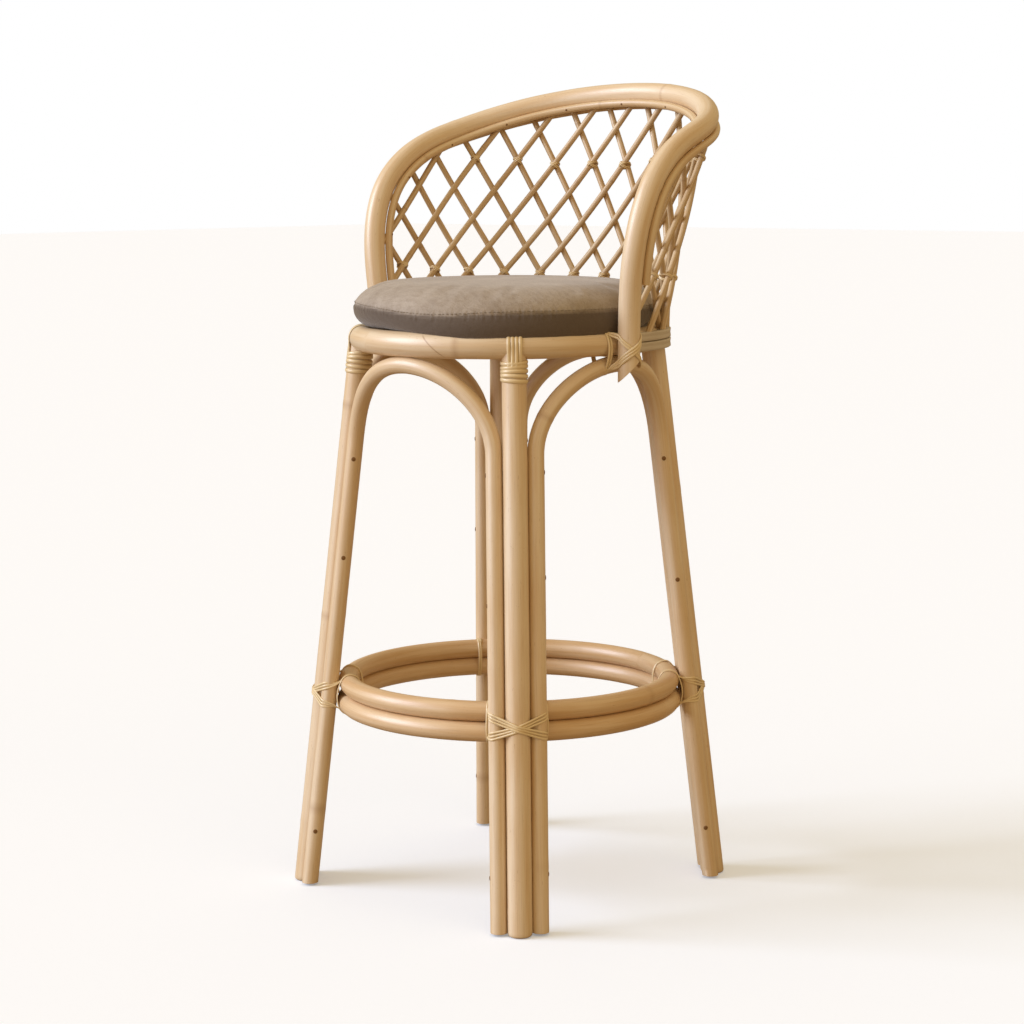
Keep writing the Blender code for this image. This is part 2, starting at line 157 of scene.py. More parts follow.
# %% Node helpers
class Value:
    def __init__(self, graph, socket):
        self.graph, self.socket = graph, socket

    def _math(self, operation, *terms):
        node = self.graph.add("ShaderNodeMath", {"operation": operation}, dict(enumerate(terms)))
        return self.graph.out(node)

    def __add__(self, other): return self._math("ADD", self, other)
    def __radd__(self, other): return self._math("ADD", other, self)
    def __sub__(self, other): return self._math("SUBTRACT", self, other)
    def __rsub__(self, other): return self._math("SUBTRACT", other, self)
    def __mul__(self, other): return self._math("MULTIPLY", self, other)
    def __rmul__(self, other): return self._math("MULTIPLY", other, self)
    def __truediv__(self, other): return self._math("DIVIDE", self, other)
    def fract(self): return self._math("FRACT", self)
    def absolute(self): return self._math("ABSOLUTE", self)
    def sine(self): return self._math("SINE", self)
    def cosine(self): return self._math("COSINE", self)


class Graph:
    def __init__(self, tree):
        self.tree = tree

    def add(self, kind, settings=(), sockets=()):
        node = self.tree.nodes.new(kind)
        for key, value in dict(settings).items():
            if key == "stops":
                ramp = node.color_ramp.elements
                while len(ramp) < len(value):
                    ramp.new(0.5)
                for stop, (place, colour) in zip(ramp, value):
                    stop.position, stop.color = place, colour
            else:
                setattr(node, key, value)
        for key, value in dict(sockets).items():
            if isinstance(value, Value):
                self.tree.links.new(value.socket, node.inputs[key])
            else:
                node.inputs[key].default_value = value
        return node

    def out(self, node, key=0):
        return Value(self, node.outputs[key])

    def place(self):
        return self.out(self.add("ShaderNodeTexCoord"), "Object")

    def attribute(self, name, key="Fac"):
        return self.out(self.add("ShaderNodeAttribute", {"attribute_name": name}), key)

    def vector_math(self, operation, *terms, key=0):
        node = self.add("ShaderNodeVectorMath", {"operation": operation}, dict(enumerate(terms)))
        return self.out(node, key)

    def mix(self, factor, a, b, blend="MIX"):
        """Mixes two colours, each an (r, g, b) or a link."""
        a, b = ((*c, 1) if isinstance(c, tuple) else c for c in (a, b))
        node = self.add("ShaderNodeMix", {"data_type": "RGBA", "blend_type": blend}, {0: factor, 6: a, 7: b})
        return self.out(node, 2)

    def noise(self, vector, scale, detail=3.0, roughness=0.55):
        sockets = {"Vector": vector, "Scale": scale, "Detail": detail, "Roughness": roughness}
        node = self.add("ShaderNodeTexNoise", (), sockets)
        return self.out(node)

    def step(self, value, low, high):
        """0 below low, 1 above high, and smooth between them."""
        settings = {"interpolation_type": "SMOOTHSTEP"}
        node = self.add("ShaderNodeMapRange", settings, {0: value, 1: low, 2: high})
        return self.out(node)

    def bump(self, strength, distance, height):
        sockets = {"Strength": strength, "Distance": distance, "Height": height}
        return self.out(self.add("ShaderNodeBump", (), sockets))


def srgb(red, green, blue):
    """A colour as picked on a screen, 0 to 255, turned into the linear light that shaders use."""
    shares = (c / 255 for c in (red, green, blue))
    return tuple(c / 12.92 if c <= 0.04045 else ((c + 0.055) / 1.055) ** 2.4 for c in shares)


def new_material(name):
    material = bpy.data.materials.new(name)
    material.use_nodes = True
    graph = Graph(material.node_tree)
    shader = material.node_tree.nodes["Principled BSDF"]
    return material, graph, shader


def plug(graph, value, socket):
    graph.tree.links.new(value.socket, socket)


# %% [markdown]
# Rattan is a solid pole without a hollow. Peeled and lacquered it is honey coloured, with long fibres that
# run along the pole, paler and darker streaks, small brown flecks, and a faint ring every hand or two where
# a leaf once grew. All of that follows the pole and not the room, so the sweep below leaves two attributes
# on each mesh: `grain`, which runs round and along the pole, and `joint`, which is 1 on a ring.

# %% Rattan pole finish
def scarf_line(graph, place, point, normal):
    """1 on the thin line where a slanting glued joint meets the pole's face near a point."""
    off = graph.vector_math("SUBTRACT", place, tuple(point))
    across = graph.vector_math("DOT_PRODUCT", off, tuple(normal), key="Value")
    far = graph.vector_math("LENGTH", off, key="Value")
    line = graph.step(across * across, 1.4e-6, 1e-7)
    return line * graph.step(far, 0.024, 0.014)


def rattan_finish(name, pale, honey, brown, roughness, streaks=1.0, coat=0.5, scarf=None):
    material, graph, shader = new_material(name)
    grain, joint = graph.attribute("grain", "Vector"), graph.attribute("joint")
    place = graph.place()
    long_streaks = graph.noise(graph.vector_math("MULTIPLY", grain, (1.9, 1.9, 5.0)), 1.0, 4.0)
    fibres = graph.noise(graph.vector_math("MULTIPLY", grain, (15.0, 15.0, 22.0)), 1.0, 4.0, 0.65)
    flecks = graph.noise(graph.vector_math("MULTIPLY", grain, (8.0, 8.0, 110.0)), 1.0, 2.0)
    specks = graph.noise(place, 620.0, 1.0)
    patches = graph.noise(place, 7.0, 2.0)
    tone = graph.step(long_streaks * 0.65 + patches * 0.35, 0.37, 0.63)
    colour = graph.mix(tone, honey, pale)
    colour = graph.mix(graph.step(fibres, 0.50, 0.74) * (0.26 * streaks), colour, brown)
    colour = graph.mix(graph.step(flecks, 0.69, 0.76) * (0.40 * streaks), colour, brown)
    colour = graph.mix(graph.step(specks, 0.70, 0.80) * (0.30 * streaks), colour, brown)
    colour = graph.mix(joint * 0.32, colour, brown)
    if scarf:
        colour = graph.mix(scarf_line(graph, place, *scarf) * 0.55, colour, brown)
    plug(graph, colour, shader.inputs["Base Color"])
    plug(graph, roughness + fibres * 0.12 - tone * 0.05, shader.inputs["Roughness"])
    plug(graph, graph.bump(0.14, 0.0005, fibres + long_streaks * 0.5), shader.inputs["Normal"])
    shader.inputs["Specular IOR Level"].default_value = 0.6
    shader.inputs["Coat Weight"].default_value = coat
    shader.inputs["Coat Roughness"].default_value = 0.30
    return material


SCARF_THETA = 165
SCARF_PLACE = around(SCARF_THETA, RIM_R + RIM_POLE, RIM_Z)
SCARF_NORMAL = unit(np.array([0, 0, 0.75]) - 0.65 * tangent_at(SCARF_THETA))
POLE_TONES = (srgb(231, 209, 177), srgb(220, 190, 149), srgb(158, 112, 64))
RING_TONES = (srgb(224, 194, 154), srgb(210, 172, 124), srgb(146, 98, 52))
CANE_TONES = (srgb(216, 192, 154), srgb(192, 158, 112), srgb(132, 92, 48))
STRIP_TONES = (srgb(222, 198, 160), srgb(206, 172, 126), srgb(146, 104, 60))
RATTAN = rattan_finish("rattan_pole", *POLE_TONES, 0.42)
RIM_RATTAN = rattan_finish("rim_rattan", *POLE_TONES, 0.42, scarf=(SCARF_PLACE, SCARF_NORMAL))
RING_RATTAN = rattan_finish("footrest_rattan", *RING_TONES, 0.42)
CANE = rattan_finish("lattice_cane", *CANE_TONES, 0.46, 1.2, 0.3)
STRIP = rattan_finish("strip_cane", *STRIP_TONES, 0.44, 1.0, 0.4)
print("mixed the rattan finishes")


# %% [markdown]
# The bindings are flat peel, the shiny skin split off the pole: pale straw with fine lines along it. The
# bands round the seat are split cane with its grey-beige skin left on. Plainer things, such as sawn ends,
# mix two colours by one pattern.

# %% Peel, split cane and cut ends
PEEL_TONES = (srgb(238, 217, 176), srgb(224, 197, 148), srgb(164, 120, 68))
SPLIT_TONES = (srgb(206, 193, 174), srgb(184, 168, 146), srgb(130, 108, 84))
PEEL = rattan_finish("peel_binding", *PEEL_TONES, 0.36)
SPLIT = rattan_finish("split_band", *SPLIT_TONES, 0.50, 1.0, 0.15)


def two_tone(name, dark, pale, roughness, pattern):
    """A plain finish of two colours, mixed by what `pattern` makes of the place."""
    material, graph, shader = new_material(name)
    colour = graph.mix(pattern(graph, graph.place()), dark, pale)
    plug(graph, colour, shader.inputs["Base Color"])
    shader.inputs["Roughness"].default_value = roughness
    return material


def pores(graph, place):
    """Where a pole is sawn: paler wood full of fine pores."""
    dots = graph.add("ShaderNodeTexVoronoi", (), {"Vector": place, "Scale": 1100.0})
    return graph.step(graph.out(dots), 0.20, 0.42)


CUT_END = two_tone("cut_end", srgb(120, 84, 48), srgb(190, 150, 102), 0.75, pores)


# %% [markdown]
# Every pole and cane is a path swept by a circle, so one Geometry Nodes tree makes them all. It measures
# the length along the path and the turn round the profile before the sweep, swells the radius a little at
# each leaf ring, sweeps, and stores `grain` and `joint` from what it measured. Its sizes are inputs, so the
# same tree makes a 31 mm rim and a 7 mm cane.

# %% The pole tree
def tree_input(tree, name, kind, default=None):
    socket = tree.interface.new_socket(name, in_out="INPUT", socket_type=kind)
    if default is not None:
        socket.default_value = default
    return socket.identifier


def finish_tree(graph, given, last):
    """Every tree ends alike: instances made real, and the finish put on."""
    real = graph.add("GeometryNodeRealizeInstances", (), {0: graph.out(last)})
    painted = graph.add("GeometryNodeSetMaterial", (), {0: graph.out(real), 2: graph.out(given, "finish")})
    plug(graph, graph.out(painted), graph.add("NodeGroupOutput").inputs[0])


def pole_tree():
    tree = bpy.data.node_groups.new("bent_pole", "GeometryNodeTree")
    names = {"path": tree_input(tree, "Path", "NodeSocketGeometry")}
    number = "NodeSocketFloat"
    for name, kind, default in (("radius", number, 0.01), ("sides", "NodeSocketInt", 20),
                                ("ring_every", number, 0.26), ("ring_swell", number, 0.02),
                                ("start", number, 0.0), ("finish", "NodeSocketMaterial", None)):
        names[name] = tree_input(tree, name, kind, default)
    tree.interface.new_socket("Mesh", in_out="OUTPUT", socket_type="NodeSocketGeometry")
    graph = Graph(tree)
    given = graph.add("NodeGroupInput")
    start, every = graph.out(given, "start"), graph.out(given, "ring_every")

    along = graph.add("GeometryNodeCaptureAttribute", (), {0: graph.out(given, "Path")})
    along.capture_items.new("FLOAT", "length")
    length = graph.out(graph.add("GeometryNodeSplineParameter"), "Length")
    plug(graph, length + start, along.inputs[1])
    travelled = graph.out(along, 1)
    # distance to the nearest leaf ring, in metres
    off_ring = ((travelled / every).fract() - 0.5).absolute() * every
    ring = 1.0 - graph.step(off_ring, 0.0006, 0.0060)
    line = 1.0 - graph.step(off_ring, 0.0004, 0.0016)
    wander = graph.noise(graph.out(graph.add("ShaderNodeCombineXYZ", (), {2: travelled})), 14.0, 1.0)
    swell = 1.0 + ring * graph.out(given, "ring_swell") + (wander - 0.5) * 0.030
    sized = graph.add("GeometryNodeSetCurveRadius", (), {0: graph.out(along), 2: swell})

    outline = {0: graph.out(given, "sides"), 4: graph.out(given, "radius")}
    circle = graph.add("GeometryNodeCurvePrimitiveCircle", (), outline)
    turn = graph.add("GeometryNodeCaptureAttribute", (), {0: graph.out(circle)})
    turn.capture_items.new("FLOAT", "turn")
    plug(graph, graph.out(graph.add("GeometryNodeSplineParameter"), "Factor"), turn.inputs[1])
    angle = graph.out(turn, 1) * (2 * math.pi)

    sweep = {0: graph.out(sized), 1: graph.out(turn), 2: swell, 3: True}
    swept = graph.add("GeometryNodeCurveToMesh", (), sweep)
    grain = graph.add("ShaderNodeCombineXYZ", (), {0: angle.cosine(), 1: angle.sine(), 2: travelled})
    shape = graph.out(swept)
    for kind, name, value in (("FLOAT_VECTOR", "grain", graph.out(grain)), ("FLOAT", "joint", line)):
        stored = {0: shape, "Name": name, "Value": value}
        settings = {"data_type": kind, "domain": "POINT"}
        shape = graph.out(graph.add("GeometryNodeStoreNamedAttribute", settings, stored))
    smooth = graph.add("GeometryNodeSetShadeSmooth", (), {0: shape})
    finish_tree(graph, given, smooth)
    return tree, names


POLE_TREE, POLE_INPUTS = pole_tree()


def in_scene(name, data):
    thing = bpy.data.objects.new(name, data)
    scene.collection.objects.link(thing)
    return thing


def path_object(paths, closed):
    """One curve object with a straight-segmented spline for each path."""
    curve = bpy.data.curves.new("path", "CURVE")
    curve.dimensions = "3D"
    for points in paths:
        spline = curve.splines.new("POLY")
        spline.points.add(len(points) - 1)
        for place, point in zip(spline.points, points):
            place.co = (*point[:3], 1)
        spline.use_cyclic_u = closed
    return in_scene("path", curve)


def evaluated_mesh(thing):
    graph = bpy.context.evaluated_depsgraph_get()
    return bpy.data.meshes.new_from_object(thing.evaluated_get(graph))


def frozen(thing, name):
    """The object's evaluated shape as a plain mesh object; the source goes."""
    mesh = evaluated_mesh(thing)
    bpy.data.objects.remove(thing)
    mesh.name = name
    return in_scene(name, mesh)


RING_STARTS = iter(np.random.default_rng(7).uniform(0, 5, 200))


def poles(name, paths, radius, finish, sides=24, closed=False, ring_every=0.27, ring_swell=0.02):
    """One or more poles swept along paths, as one piece."""
    source = path_object(paths, closed)
    step = source.modifiers.new("bent_pole", "NODES")
    step.node_group = POLE_TREE
    values = {"radius": radius, "sides": sides, "ring_every": ring_every, "ring_swell": ring_swell,
              "start": float(next(RING_STARTS)), "finish": finish}
    for key, value in values.items():
        step[POLE_INPUTS[key]] = value
    return frozen(source, name)


def sawn(piece, point, normal, round_over=0.0):
    """Cuts off what lies beyond the plane, closes the cut with end grain, and rounds its edge over."""
    shape = bmesh.new()
    shape.from_mesh(piece.data)
    geometry = shape.verts[:] + shape.edges[:] + shape.faces[:]
    cut = bmesh.ops.bisect_plane(shape, geom=geometry, plane_co=point, plane_no=normal, clear_outer=True)
    edges = [e for e in cut["geom_cut"] if isinstance(e, bmesh.types.BMEdge)]
    made = bmesh.ops.contextual_create(shape, geom=edges)["faces"]
    if CUT_END.name not in piece.data.materials:
        piece.data.materials.append(CUT_END)
    slot_number = piece.data.materials.find(CUT_END.name)
    for face in made:
        face.material_index = slot_number
        face.smooth = False
    if round_over:
        rim = {e for face in made for e in face.edges}
        bmesh.ops.bevel(shape, geom=list(rim), offset=round_over, segments=4, profile=0.5, affect="EDGES",
                        clamp_overlap=True, material=-1)
    shape.to_mesh(piece.data)
    shape.free()


def settle(piece, body, slot_name, *nodes):
    """Names the body that the piece rides and the nodes that it stands for; slot_name is not used."""
    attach(piece, body)
    if nodes:
        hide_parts(*nodes)
    return piece


# %% [markdown]
# The frame of the stool: a bent rim, four straight legs that lean out, an arch between each pair of legs
# and two rings to rest the feet on. A leg is swept a little too long, sawn level at the floor and rounded
# over there.

# %% Legs, arches and footrest
LEG_POLE, ARCH_POLE, RING_POLE = 0.0150, 0.0103, 0.0123
LEG_TOP_R, LEG_FOOT_R = 0.1832, 0.2642
LEG_THETAS = {"rear_right": 45, "rear_left": -45, "front_right": 135, "front_left": -135}
ARCH_THETAS = {"rear": 0, "right": 90, "front": 180, "left": -90}
ARCH_INSET = 0.0055
ARCH_ASIDE = math.sqrt((LEG_POLE + ARCH_POLE + 0.0003) ** 2 - ARCH_INSET ** 2)
ARCH_SPRING_Z = 0.570
QUARTER_TURN = 0.5523  # how far a Bezier handle reaches to make a quarter circle
UPPER_RING_R, LOWER_RING_R = 0.2058, 0.2080
RING_Z = (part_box("footrest_ring_upper")[0].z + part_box("footrest_ring_lower")[1].z) / 2
# rings as ((radius, height), pole)
UPPER_RING = ((UPPER_RING_R, RING_Z + RING_POLE), RING_POLE)
LOWER_RING = ((LOWER_RING_R, RING_Z - RING_POLE), RING_POLE)


def leg_radius(z):
    return LEG_FOOT_R - (LEG_FOOT_R - LEG_TOP_R) / RIM_Z * z


def ring_path(radius, z, start, count):
    return [around(start + 360 * i / count, radius, z) for i in range(count)]


def make_legs():
    heights = np.linspace(-0.01, RIM_Z - 0.006, 90)
    for where, theta in LEG_THETAS.items():
        path = [around(theta, leg_radius(z), z) for z in heights]
        leg = poles(f"leg_pole_{where}", [path], LEG_POLE, RATTAN, 28)
        sawn(leg, (0, 0, 0.0003), (0, 0, -1), 0.0055)
        settle(leg, "frame", "rattan_pole", f"leg_{where}")


def arch_half():
    """Half of an arch, from the foot to the apex: (along the tangent, outwards, height)."""
    def upright(z):
        out = (leg_radius(z) - ARCH_INSET) / math.sqrt(2)
        side = ARCH_ASIDE / math.sqrt(2)
        return np.array([out - side, out + side, z])
    spring = upright(ARCH_SPRING_Z)
    apex = np.array([0.0, RIM_R, RIM_Z - RIM_POLE - ARCH_POLE + 0.0004])
    climb = upright(ARCH_SPRING_Z) - upright(ARCH_SPRING_Z - 0.1)
    first = spring + climb / climb[2] * (apex[2] - spring[2]) * QUARTER_TURN
    second = apex + np.array([spring[0] * QUARTER_TURN, 0, 0])
    path = [upright(z) for z in np.linspace(-0.006, ARCH_SPRING_Z, 60)[:-1]]
    for s in np.linspace(0, 1, 30):
        t = 1 - s
        path.append(t ** 3 * spring + 3 * t ** 2 * s * first + 3 * t * s ** 2 * second + s ** 3 * apex)
    return path


def make_arches():
    half = arch_half()
    for where, theta in ARCH_THETAS.items():
        across = half + [(-u, w, z) for u, w, z in half[-2::-1]]
        path = [beside(theta, u, w, z) for u, w, z in across]
        arch = poles(f"arch_pole_{where}", [path], ARCH_POLE, RATTAN, 22)
        sawn(arch, (0, 0, 0.0030), (0, 0, -1), 0.0040)
        settle(arch, "frame", "rattan_pole", f"arch_{where}")


def make_rings():
    rim = poles("rim_pole", [ring_path(RIM_R, RIM_Z, 200, 180)], RIM_POLE, RIM_RATTAN, 32, closed=True)
    settle(rim, "frame", "rattan_pole", "seat_rim")
    for where, (centre, pole), start in (("upper", UPPER_RING, 20), ("lower", LOWER_RING, 75)):
        path = ring_path(*centre, start, 160)
        ring = poles(f"footrest_pole_{where}", [path], pole, RING_RATTAN, closed=True)
        settle(ring, "frame", "rattan_pole", f"footrest_ring_{where}")
    for where in ("front", "rear"):
        low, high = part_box(f"seat_bearer_{where}")
        y, z = (low.y + high.y) / 2, (low.z + high.z) / 2
        path = [(x, y, z) for x in np.linspace(low.x, high.x, 20)]
        bearer = poles(f"bearer_pole_{where}", [path], (high.z - low.z) / 2, RING_RATTAN, 16)
        settle(bearer, "frame", "rattan_pole", f"seat_bearer_{where}")


make_legs()
make_arches()
make_rings()
print("made the legs, arches and rings")


# %% [markdown]
# The hoop is one thick pole that rises as an arm, leans out round the back and comes down as the other arm.
# Its path is a smooth spline through the few points that a bender would mark. Thin strips follow it on both
# sides and trap the ends of the lattice. Each foot is sawn on the slant below the rim.

# %% Hoop and strips
HOOP_POLE, STRIP_CANE = 0.01356, 0.0050
ARM_CUT_Z = 0.6672
# each strip's centre from the hoop's: (across the lattice, inwards positive; towards it; its foot's height)
STRIPS = {"inner": (0.0137, 0.0130, 0.7130), "outer": (-0.0105, 0.0155, 0.7700)}
HOOP_HALF = [
    (0.2120, -0.0143, 0.6620),
    (0.2120, -0.0143, 0.7150),
    (0.2212, -0.0146, 0.8180),
    (0.2255, 0.0119, 0.8915),
    (0.2219, 0.0635, 0.9351),
    (0.2105, 0.1307, 0.9614),
    (0.1668, 0.1893, 0.9844),
    (0.0922, 0.2304, 1.0014),
    (0.0, 0.2455, 1.0075),
]


def hoop_path(count):
    half = [np.array([x, SEAT_Y + y, z]) for x, y, z in HOOP_HALF]
    return spline_through(half + [p * np.array([-1, 1, 1]) for p in half[-2::-1]], count)


def strip_path(hoop, across, towards, foot_z):
    """The hoop's path moved across the lattice, inwards positive, and towards it."""
    tangents = unit(np.gradient(hoop, axis=0))
    middle = np.array([0, SEAT_Y + 0.15, 0.84])
    path = []
    for point, tangent in zip(hoop, tangents):
        inward = np.array([-point[0], SEAT_Y - point[1], 0])
        inward = unit(inward - tangent * inward.dot(tangent))
        along = np.cross(inward, tangent)
        along *= math.copysign(1, along.dot(middle - point))
        path.append(point + across * inward + towards * along)
    return [p for p in path if p[2] > foot_z]


def make_hoop():
    fine = hoop_path(300)
    foot = [fine[0] - np.array([0, 0, drop]) for drop in (0.014, 0.007)]
    long_foot = [p * np.array([-1, 1, 1]) for p in foot[::-1]]
    hoop = poles("hoop_pole", [foot + list(fine) + long_foot], HOOP_POLE, RATTAN, 28, ring_every=0.33)
    foot_x, foot_y, _ = HOOP_HALF[0]
    for side in (1, -1):
        sawn(hoop, (side * foot_x, SEAT_Y + foot_y, ARM_CUT_Z), (side * 0.50, 0.50, -0.71), 0.0012)
    settle(hoop, "frame", "rattan_pole", "back_hoop")
    for name, (across, towards, foot_z) in STRIPS.items():
        path = strip_path(fine, across, towards, foot_z)
        strip = poles(f"strip_cane_{name}", [path], STRIP_CANE, STRIP, 16, ring_swell=0.03)
        settle(strip, "frame", "rattan_pole", f"hoop_strip_{name}")


make_hoop()
print("made the hoop and its strips")


# %% [markdown]
# The lattice is two layers of thin cane. Every cane climbs at a steady slant: for each row of crossings it
# moves half a pitch round the seat, one layer to the left and the other to the right. The weaver's hand
# shows in the crossings, which drift to one side on the way up. The layers lie on a surface that starts on
# the rim's shoulder and leans out to meet the hoop, so one function gives every point.

# %% Lattice
LATTICE_FOOT_Z, LATTICE_FOOT_R = 0.715, 0.1975
LATTICE_TUCK, LATTICE_FLARE, LATTICE_LAYER = 0.0016, 1.33, 0.0036
LATTICE_PITCH, LATTICE_LEAN, PLUMB_ROW = 13.47, 1.155, 2.55
LATTICE_CANE = 0.0038
LATTICE_EDGE = 93
# degrees that a cane strays from its place at the foot and at the top, by (slant, index)
STRAY = {(-1, 0): (-0.3, -1.8), (-1, -1): (0.3, -1.2), (-1, -2): (0.0, -1.5), (-1, 3): (0.0, 0.5),
         (-1, 4): (0.0, 1.1), (1, -7): (-2.8, 0.0), (1, -6): (-1.6, 0.0)}
CANE_NUMBERS = range(-7, 7)
LAYERS = (("inner", 1, 0.7085, -LATTICE_LAYER), ("outer", -1, 0.7060, LATTICE_LAYER))


def hoop_profile(hoop):
    """The hoop's theta, radius and height from the middle of the back to where the arm turns down."""
    half = hoop[:len(hoop) // 2 + 1][::-1]
    half = half[half[:, 2] > 0.80]
    theta = np.degrees(np.arctan2(half[:, 0], half[:, 1] - SEAT_Y))
    return np.maximum.accumulate(theta), np.hypot(half[:, 0], half[:, 1] - SEAT_Y), half[:, 2]


HOOP_FINE = hoop_path(601)
PROFILE = hoop_profile(HOOP_FINE)


def lattice_radius(theta, z):
    top_r, hoop_z = (np.interp(abs(theta), PROFILE[0], PROFILE[i]) for i in (1, 2))
    climbed = min(max((z - LATTICE_FOOT_Z) / (hoop_z - 0.016 - LATTICE_FOOT_Z), 0), 1)
    return LATTICE_FOOT_R + (top_r - LATTICE_TUCK - LATTICE_FOOT_R) * climbed ** LATTICE_FLARE, hoop_z


def row_height(row, theta):
    return 0.7708 + 0.0316 * row + 0.00135 * row ** 2 + 0.014 * (theta / 90) ** 2


def stray(index, slant, row):
    return np.interp(row, (0, 5), STRAY.get((slant, index), (0, 0)))


def cane_place(index, slant, row):
    """Theta and height of a cane where it crosses a row."""
    theta = slant * (LATTICE_PITCH * index + LATTICE_PITCH / 2 * row) + LATTICE_LEAN * (row - PLUMB_ROW)
    return theta + stray(index, slant, row), row_height(row, theta)


def cane_path(index, slant, foot_z, layer):
    runs = [[]]
    for row in np.arange(-2.6, 7.2, 0.04):
        theta, z = cane_place(index, slant, row)
        radius, hoop_z = lattice_radius(theta, z)
        point = around(theta, radius + layer, z)
        clear = np.linalg.norm(HOOP_FINE - point, axis=1).min() > 0.0105
        if abs(theta) < LATTICE_EDGE and foot_z < z < hoop_z and clear:
            runs[-1].append(point)
        else:
            runs.append([])
    return max(runs, key=len)


def make_lattice():
    for name, slant, foot_z, layer in LAYERS:
        paths = [cane_path(index, slant, foot_z, layer) for index in CANE_NUMBERS]
        canes = poles(f"lattice_{name}", paths, LATTICE_CANE, CANE, 12, ring_every=0.19, ring_swell=0.05)
        settle(canes, "frame", "lattice_cane", *[f"lattice_cane_{name}_{i:02d}" for i in range(1, 15)])
        print(f"{name} layer: {len(paths)} canes, {len(canes.data.polygons)} faces")


make_lattice()


# %% [markdown]
# Two bands of split cane, one over the other, close the foot of the lattice. A split cane is flat inside
# and rounded outside, and here its edges stand a little proud, so the outline is drawn once and carried
# round.

# %% Split bands
def loft(name, rings, closed, finish, grain=None):
    """Equal rings of points joined in turn. `grain` gives each ring's travelled length."""
    count, sides = len(rings), len(rings[0])
    mesh = bpy.data.meshes.new(name)
    points = np.array(rings, float).reshape(-1, 3)
    faces = []
    for i in range(count if closed else count - 1):
        here, there = i * sides, (i + 1) % count * sides
        for j in range(sides):
            k = (j + 1) % sides
            faces.append((here + j, here + k, there + k, there + j))
    if not closed:
        faces += [tuple(range(sides))[::-1], tuple((count - 1) * sides + j for j in range(sides))]
    mesh.from_pydata(points.tolist(), [], faces)
    shape = bmesh.new()
    shape.from_mesh(mesh)
    bmesh.ops.recalc_face_normals(shape, faces=shape.faces)
    shape.to_mesh(mesh)
    shape.free()
    if grain is not None:
        turns = 2 * np.pi * np.arange(sides) / sides
        block = np.zeros((count, sides, 3))
        block[:, :, 0], block[:, :, 1] = np.cos(turns), np.sin(turns)
        block[:, :, 2] = np.asarray(grain)[:, None]
        mesh.attributes.new("grain", "FLOAT_VECTOR", "POINT").data.foreach_set("vector", block.ravel())
        mesh.attributes.new("joint", "FLOAT", "POINT")
    mesh.materials.append(finish)
    mesh.shade_smooth()
    return in_scene(name, mesh)


BAND_THICK = 0.0071


def make_bands():
    # (out from the band's back, share of its height): a shallow cup with rounded lips
    outline = [(0.0, 0.04), (0.0030, 0.0), (0.0066, 0.03), (0.0078, 0.10), (0.0076, 0.25), (0.0071, 0.5),
               (0.0076, 0.75), (0.0078, 0.90), (0.0066, 0.97), (0.0030, 1.0), (0.0, 0.96)]
    for name in ("upper", "lower"):
        low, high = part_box(f"split_band_{name}")
        back, tall = RIM_R + RIM_POLE, high.z - low.z
        thetas = np.linspace(-88, 88, 120)
        rings = [[around(t, back + 0.0002 + out, low.z + tall * up) for out, up in outline] for t in thetas]
        band = loft(f"band_{name}", rings, False, SPLIT, np.radians(thetas) * back)
        settle(band, "frame", "split_band", f"split_band_{name}")


make_bands()


# %% [markdown]
# Peel bindings are flat straps that lie on what they bind. Each is drawn as a path with an outward
# direction at every point, and a low domed outline is carried along it. Straps that come from one wind lie
# side by side.

# %% Straps
# the outline of a strap, (share of its width, share of its thickness)
DOME = [(-0.5, 0.0), (-0.42, 0.55), (-0.2, 0.92), (0.0, 1.0),
        (0.2, 0.92), (0.42, 0.55), (0.5, 0.0), (0.0, -0.15)]


def strap_rings(path, width, thick):
    """Rings of a low domed outline along (x, y, z, outward x, y, z) rows."""
    points, outward = path[:, :3], path[:, 3:]
    ahead = unit(np.gradient(points, axis=0))
    side = unit(np.cross(ahead, outward))
    lift = np.cross(side, ahead)
    rows = zip(points, side * width, lift * thick)
    return [[p + s * u + l * v for u, v in DOME] for p, s, l in rows]


def strap(path, width, thick, count=60, closed=False):
    path = np.asarray(path, float)
    if closed:
        path = spline_through(np.vstack([path[-3:], path, path[:4]]), count * 2)
        first = np.argmin(np.linalg.norm(path[:count, :3] - path[count // 4, :3], axis=1))
        gap = np.linalg.norm(path[first + 20:, :3] - path[first, :3], axis=1)
        path = path[first:first + 20 + int(np.argmin(gap))]
    else:
        path = spline_through(path, count)
    lengths = np.concatenate([[0], np.cumsum(np.linalg.norm(np.diff(path[:, :3], axis=0), axis=1))])
    return loft("strap", strap_rings(path, width, thick), closed, PEEL, lengths + float(next(RING_STARTS)))


def join(name, things):
    """Several meshes made one piece."""
    shape = bmesh.new()
    target = things[0].data
    for thing in things:
        shape.from_mesh(thing.data)
    mesh = bpy.data.meshes.new(name)
    shape.to_mesh(mesh)
    shape.free()
    mesh.materials.append(target.materials[0])
    for thing in things:
        bpy.data.objects.remove(thing)
    mesh.shade_smooth()
    return in_scene(name, mesh)


def outer_line(circles, reach):
    """The line that a taut strap takes over circles (across, out, radius), from -reach to reach."""
    turns = np.radians(np.arange(0, 181, 3))
    dots = sorted((a + r * math.cos(t), o + r * math.sin(t)) for a, o, r in circles for t in turns)
    hull = []
    for dot in dots:
        while len(hull) > 1 and np.cross(np.subtract(hull[-1], hull[-2]), np.subtract(dot, hull[-2])) >= 0:
            hull.pop()
        hull.append(dot)
    hull = np.array(hull)
    at = np.linspace(-reach, reach, 41)
    return at, np.interp(at, hull[:, 0], hull[:, 1])


def facing_at(theta, angle):
    """The direction out of an upright section at theta, from 0 outwards to 90 degrees up."""
    return outward_at(theta) * math.cos(angle) + np.array([0, 0, math.sin(angle)])


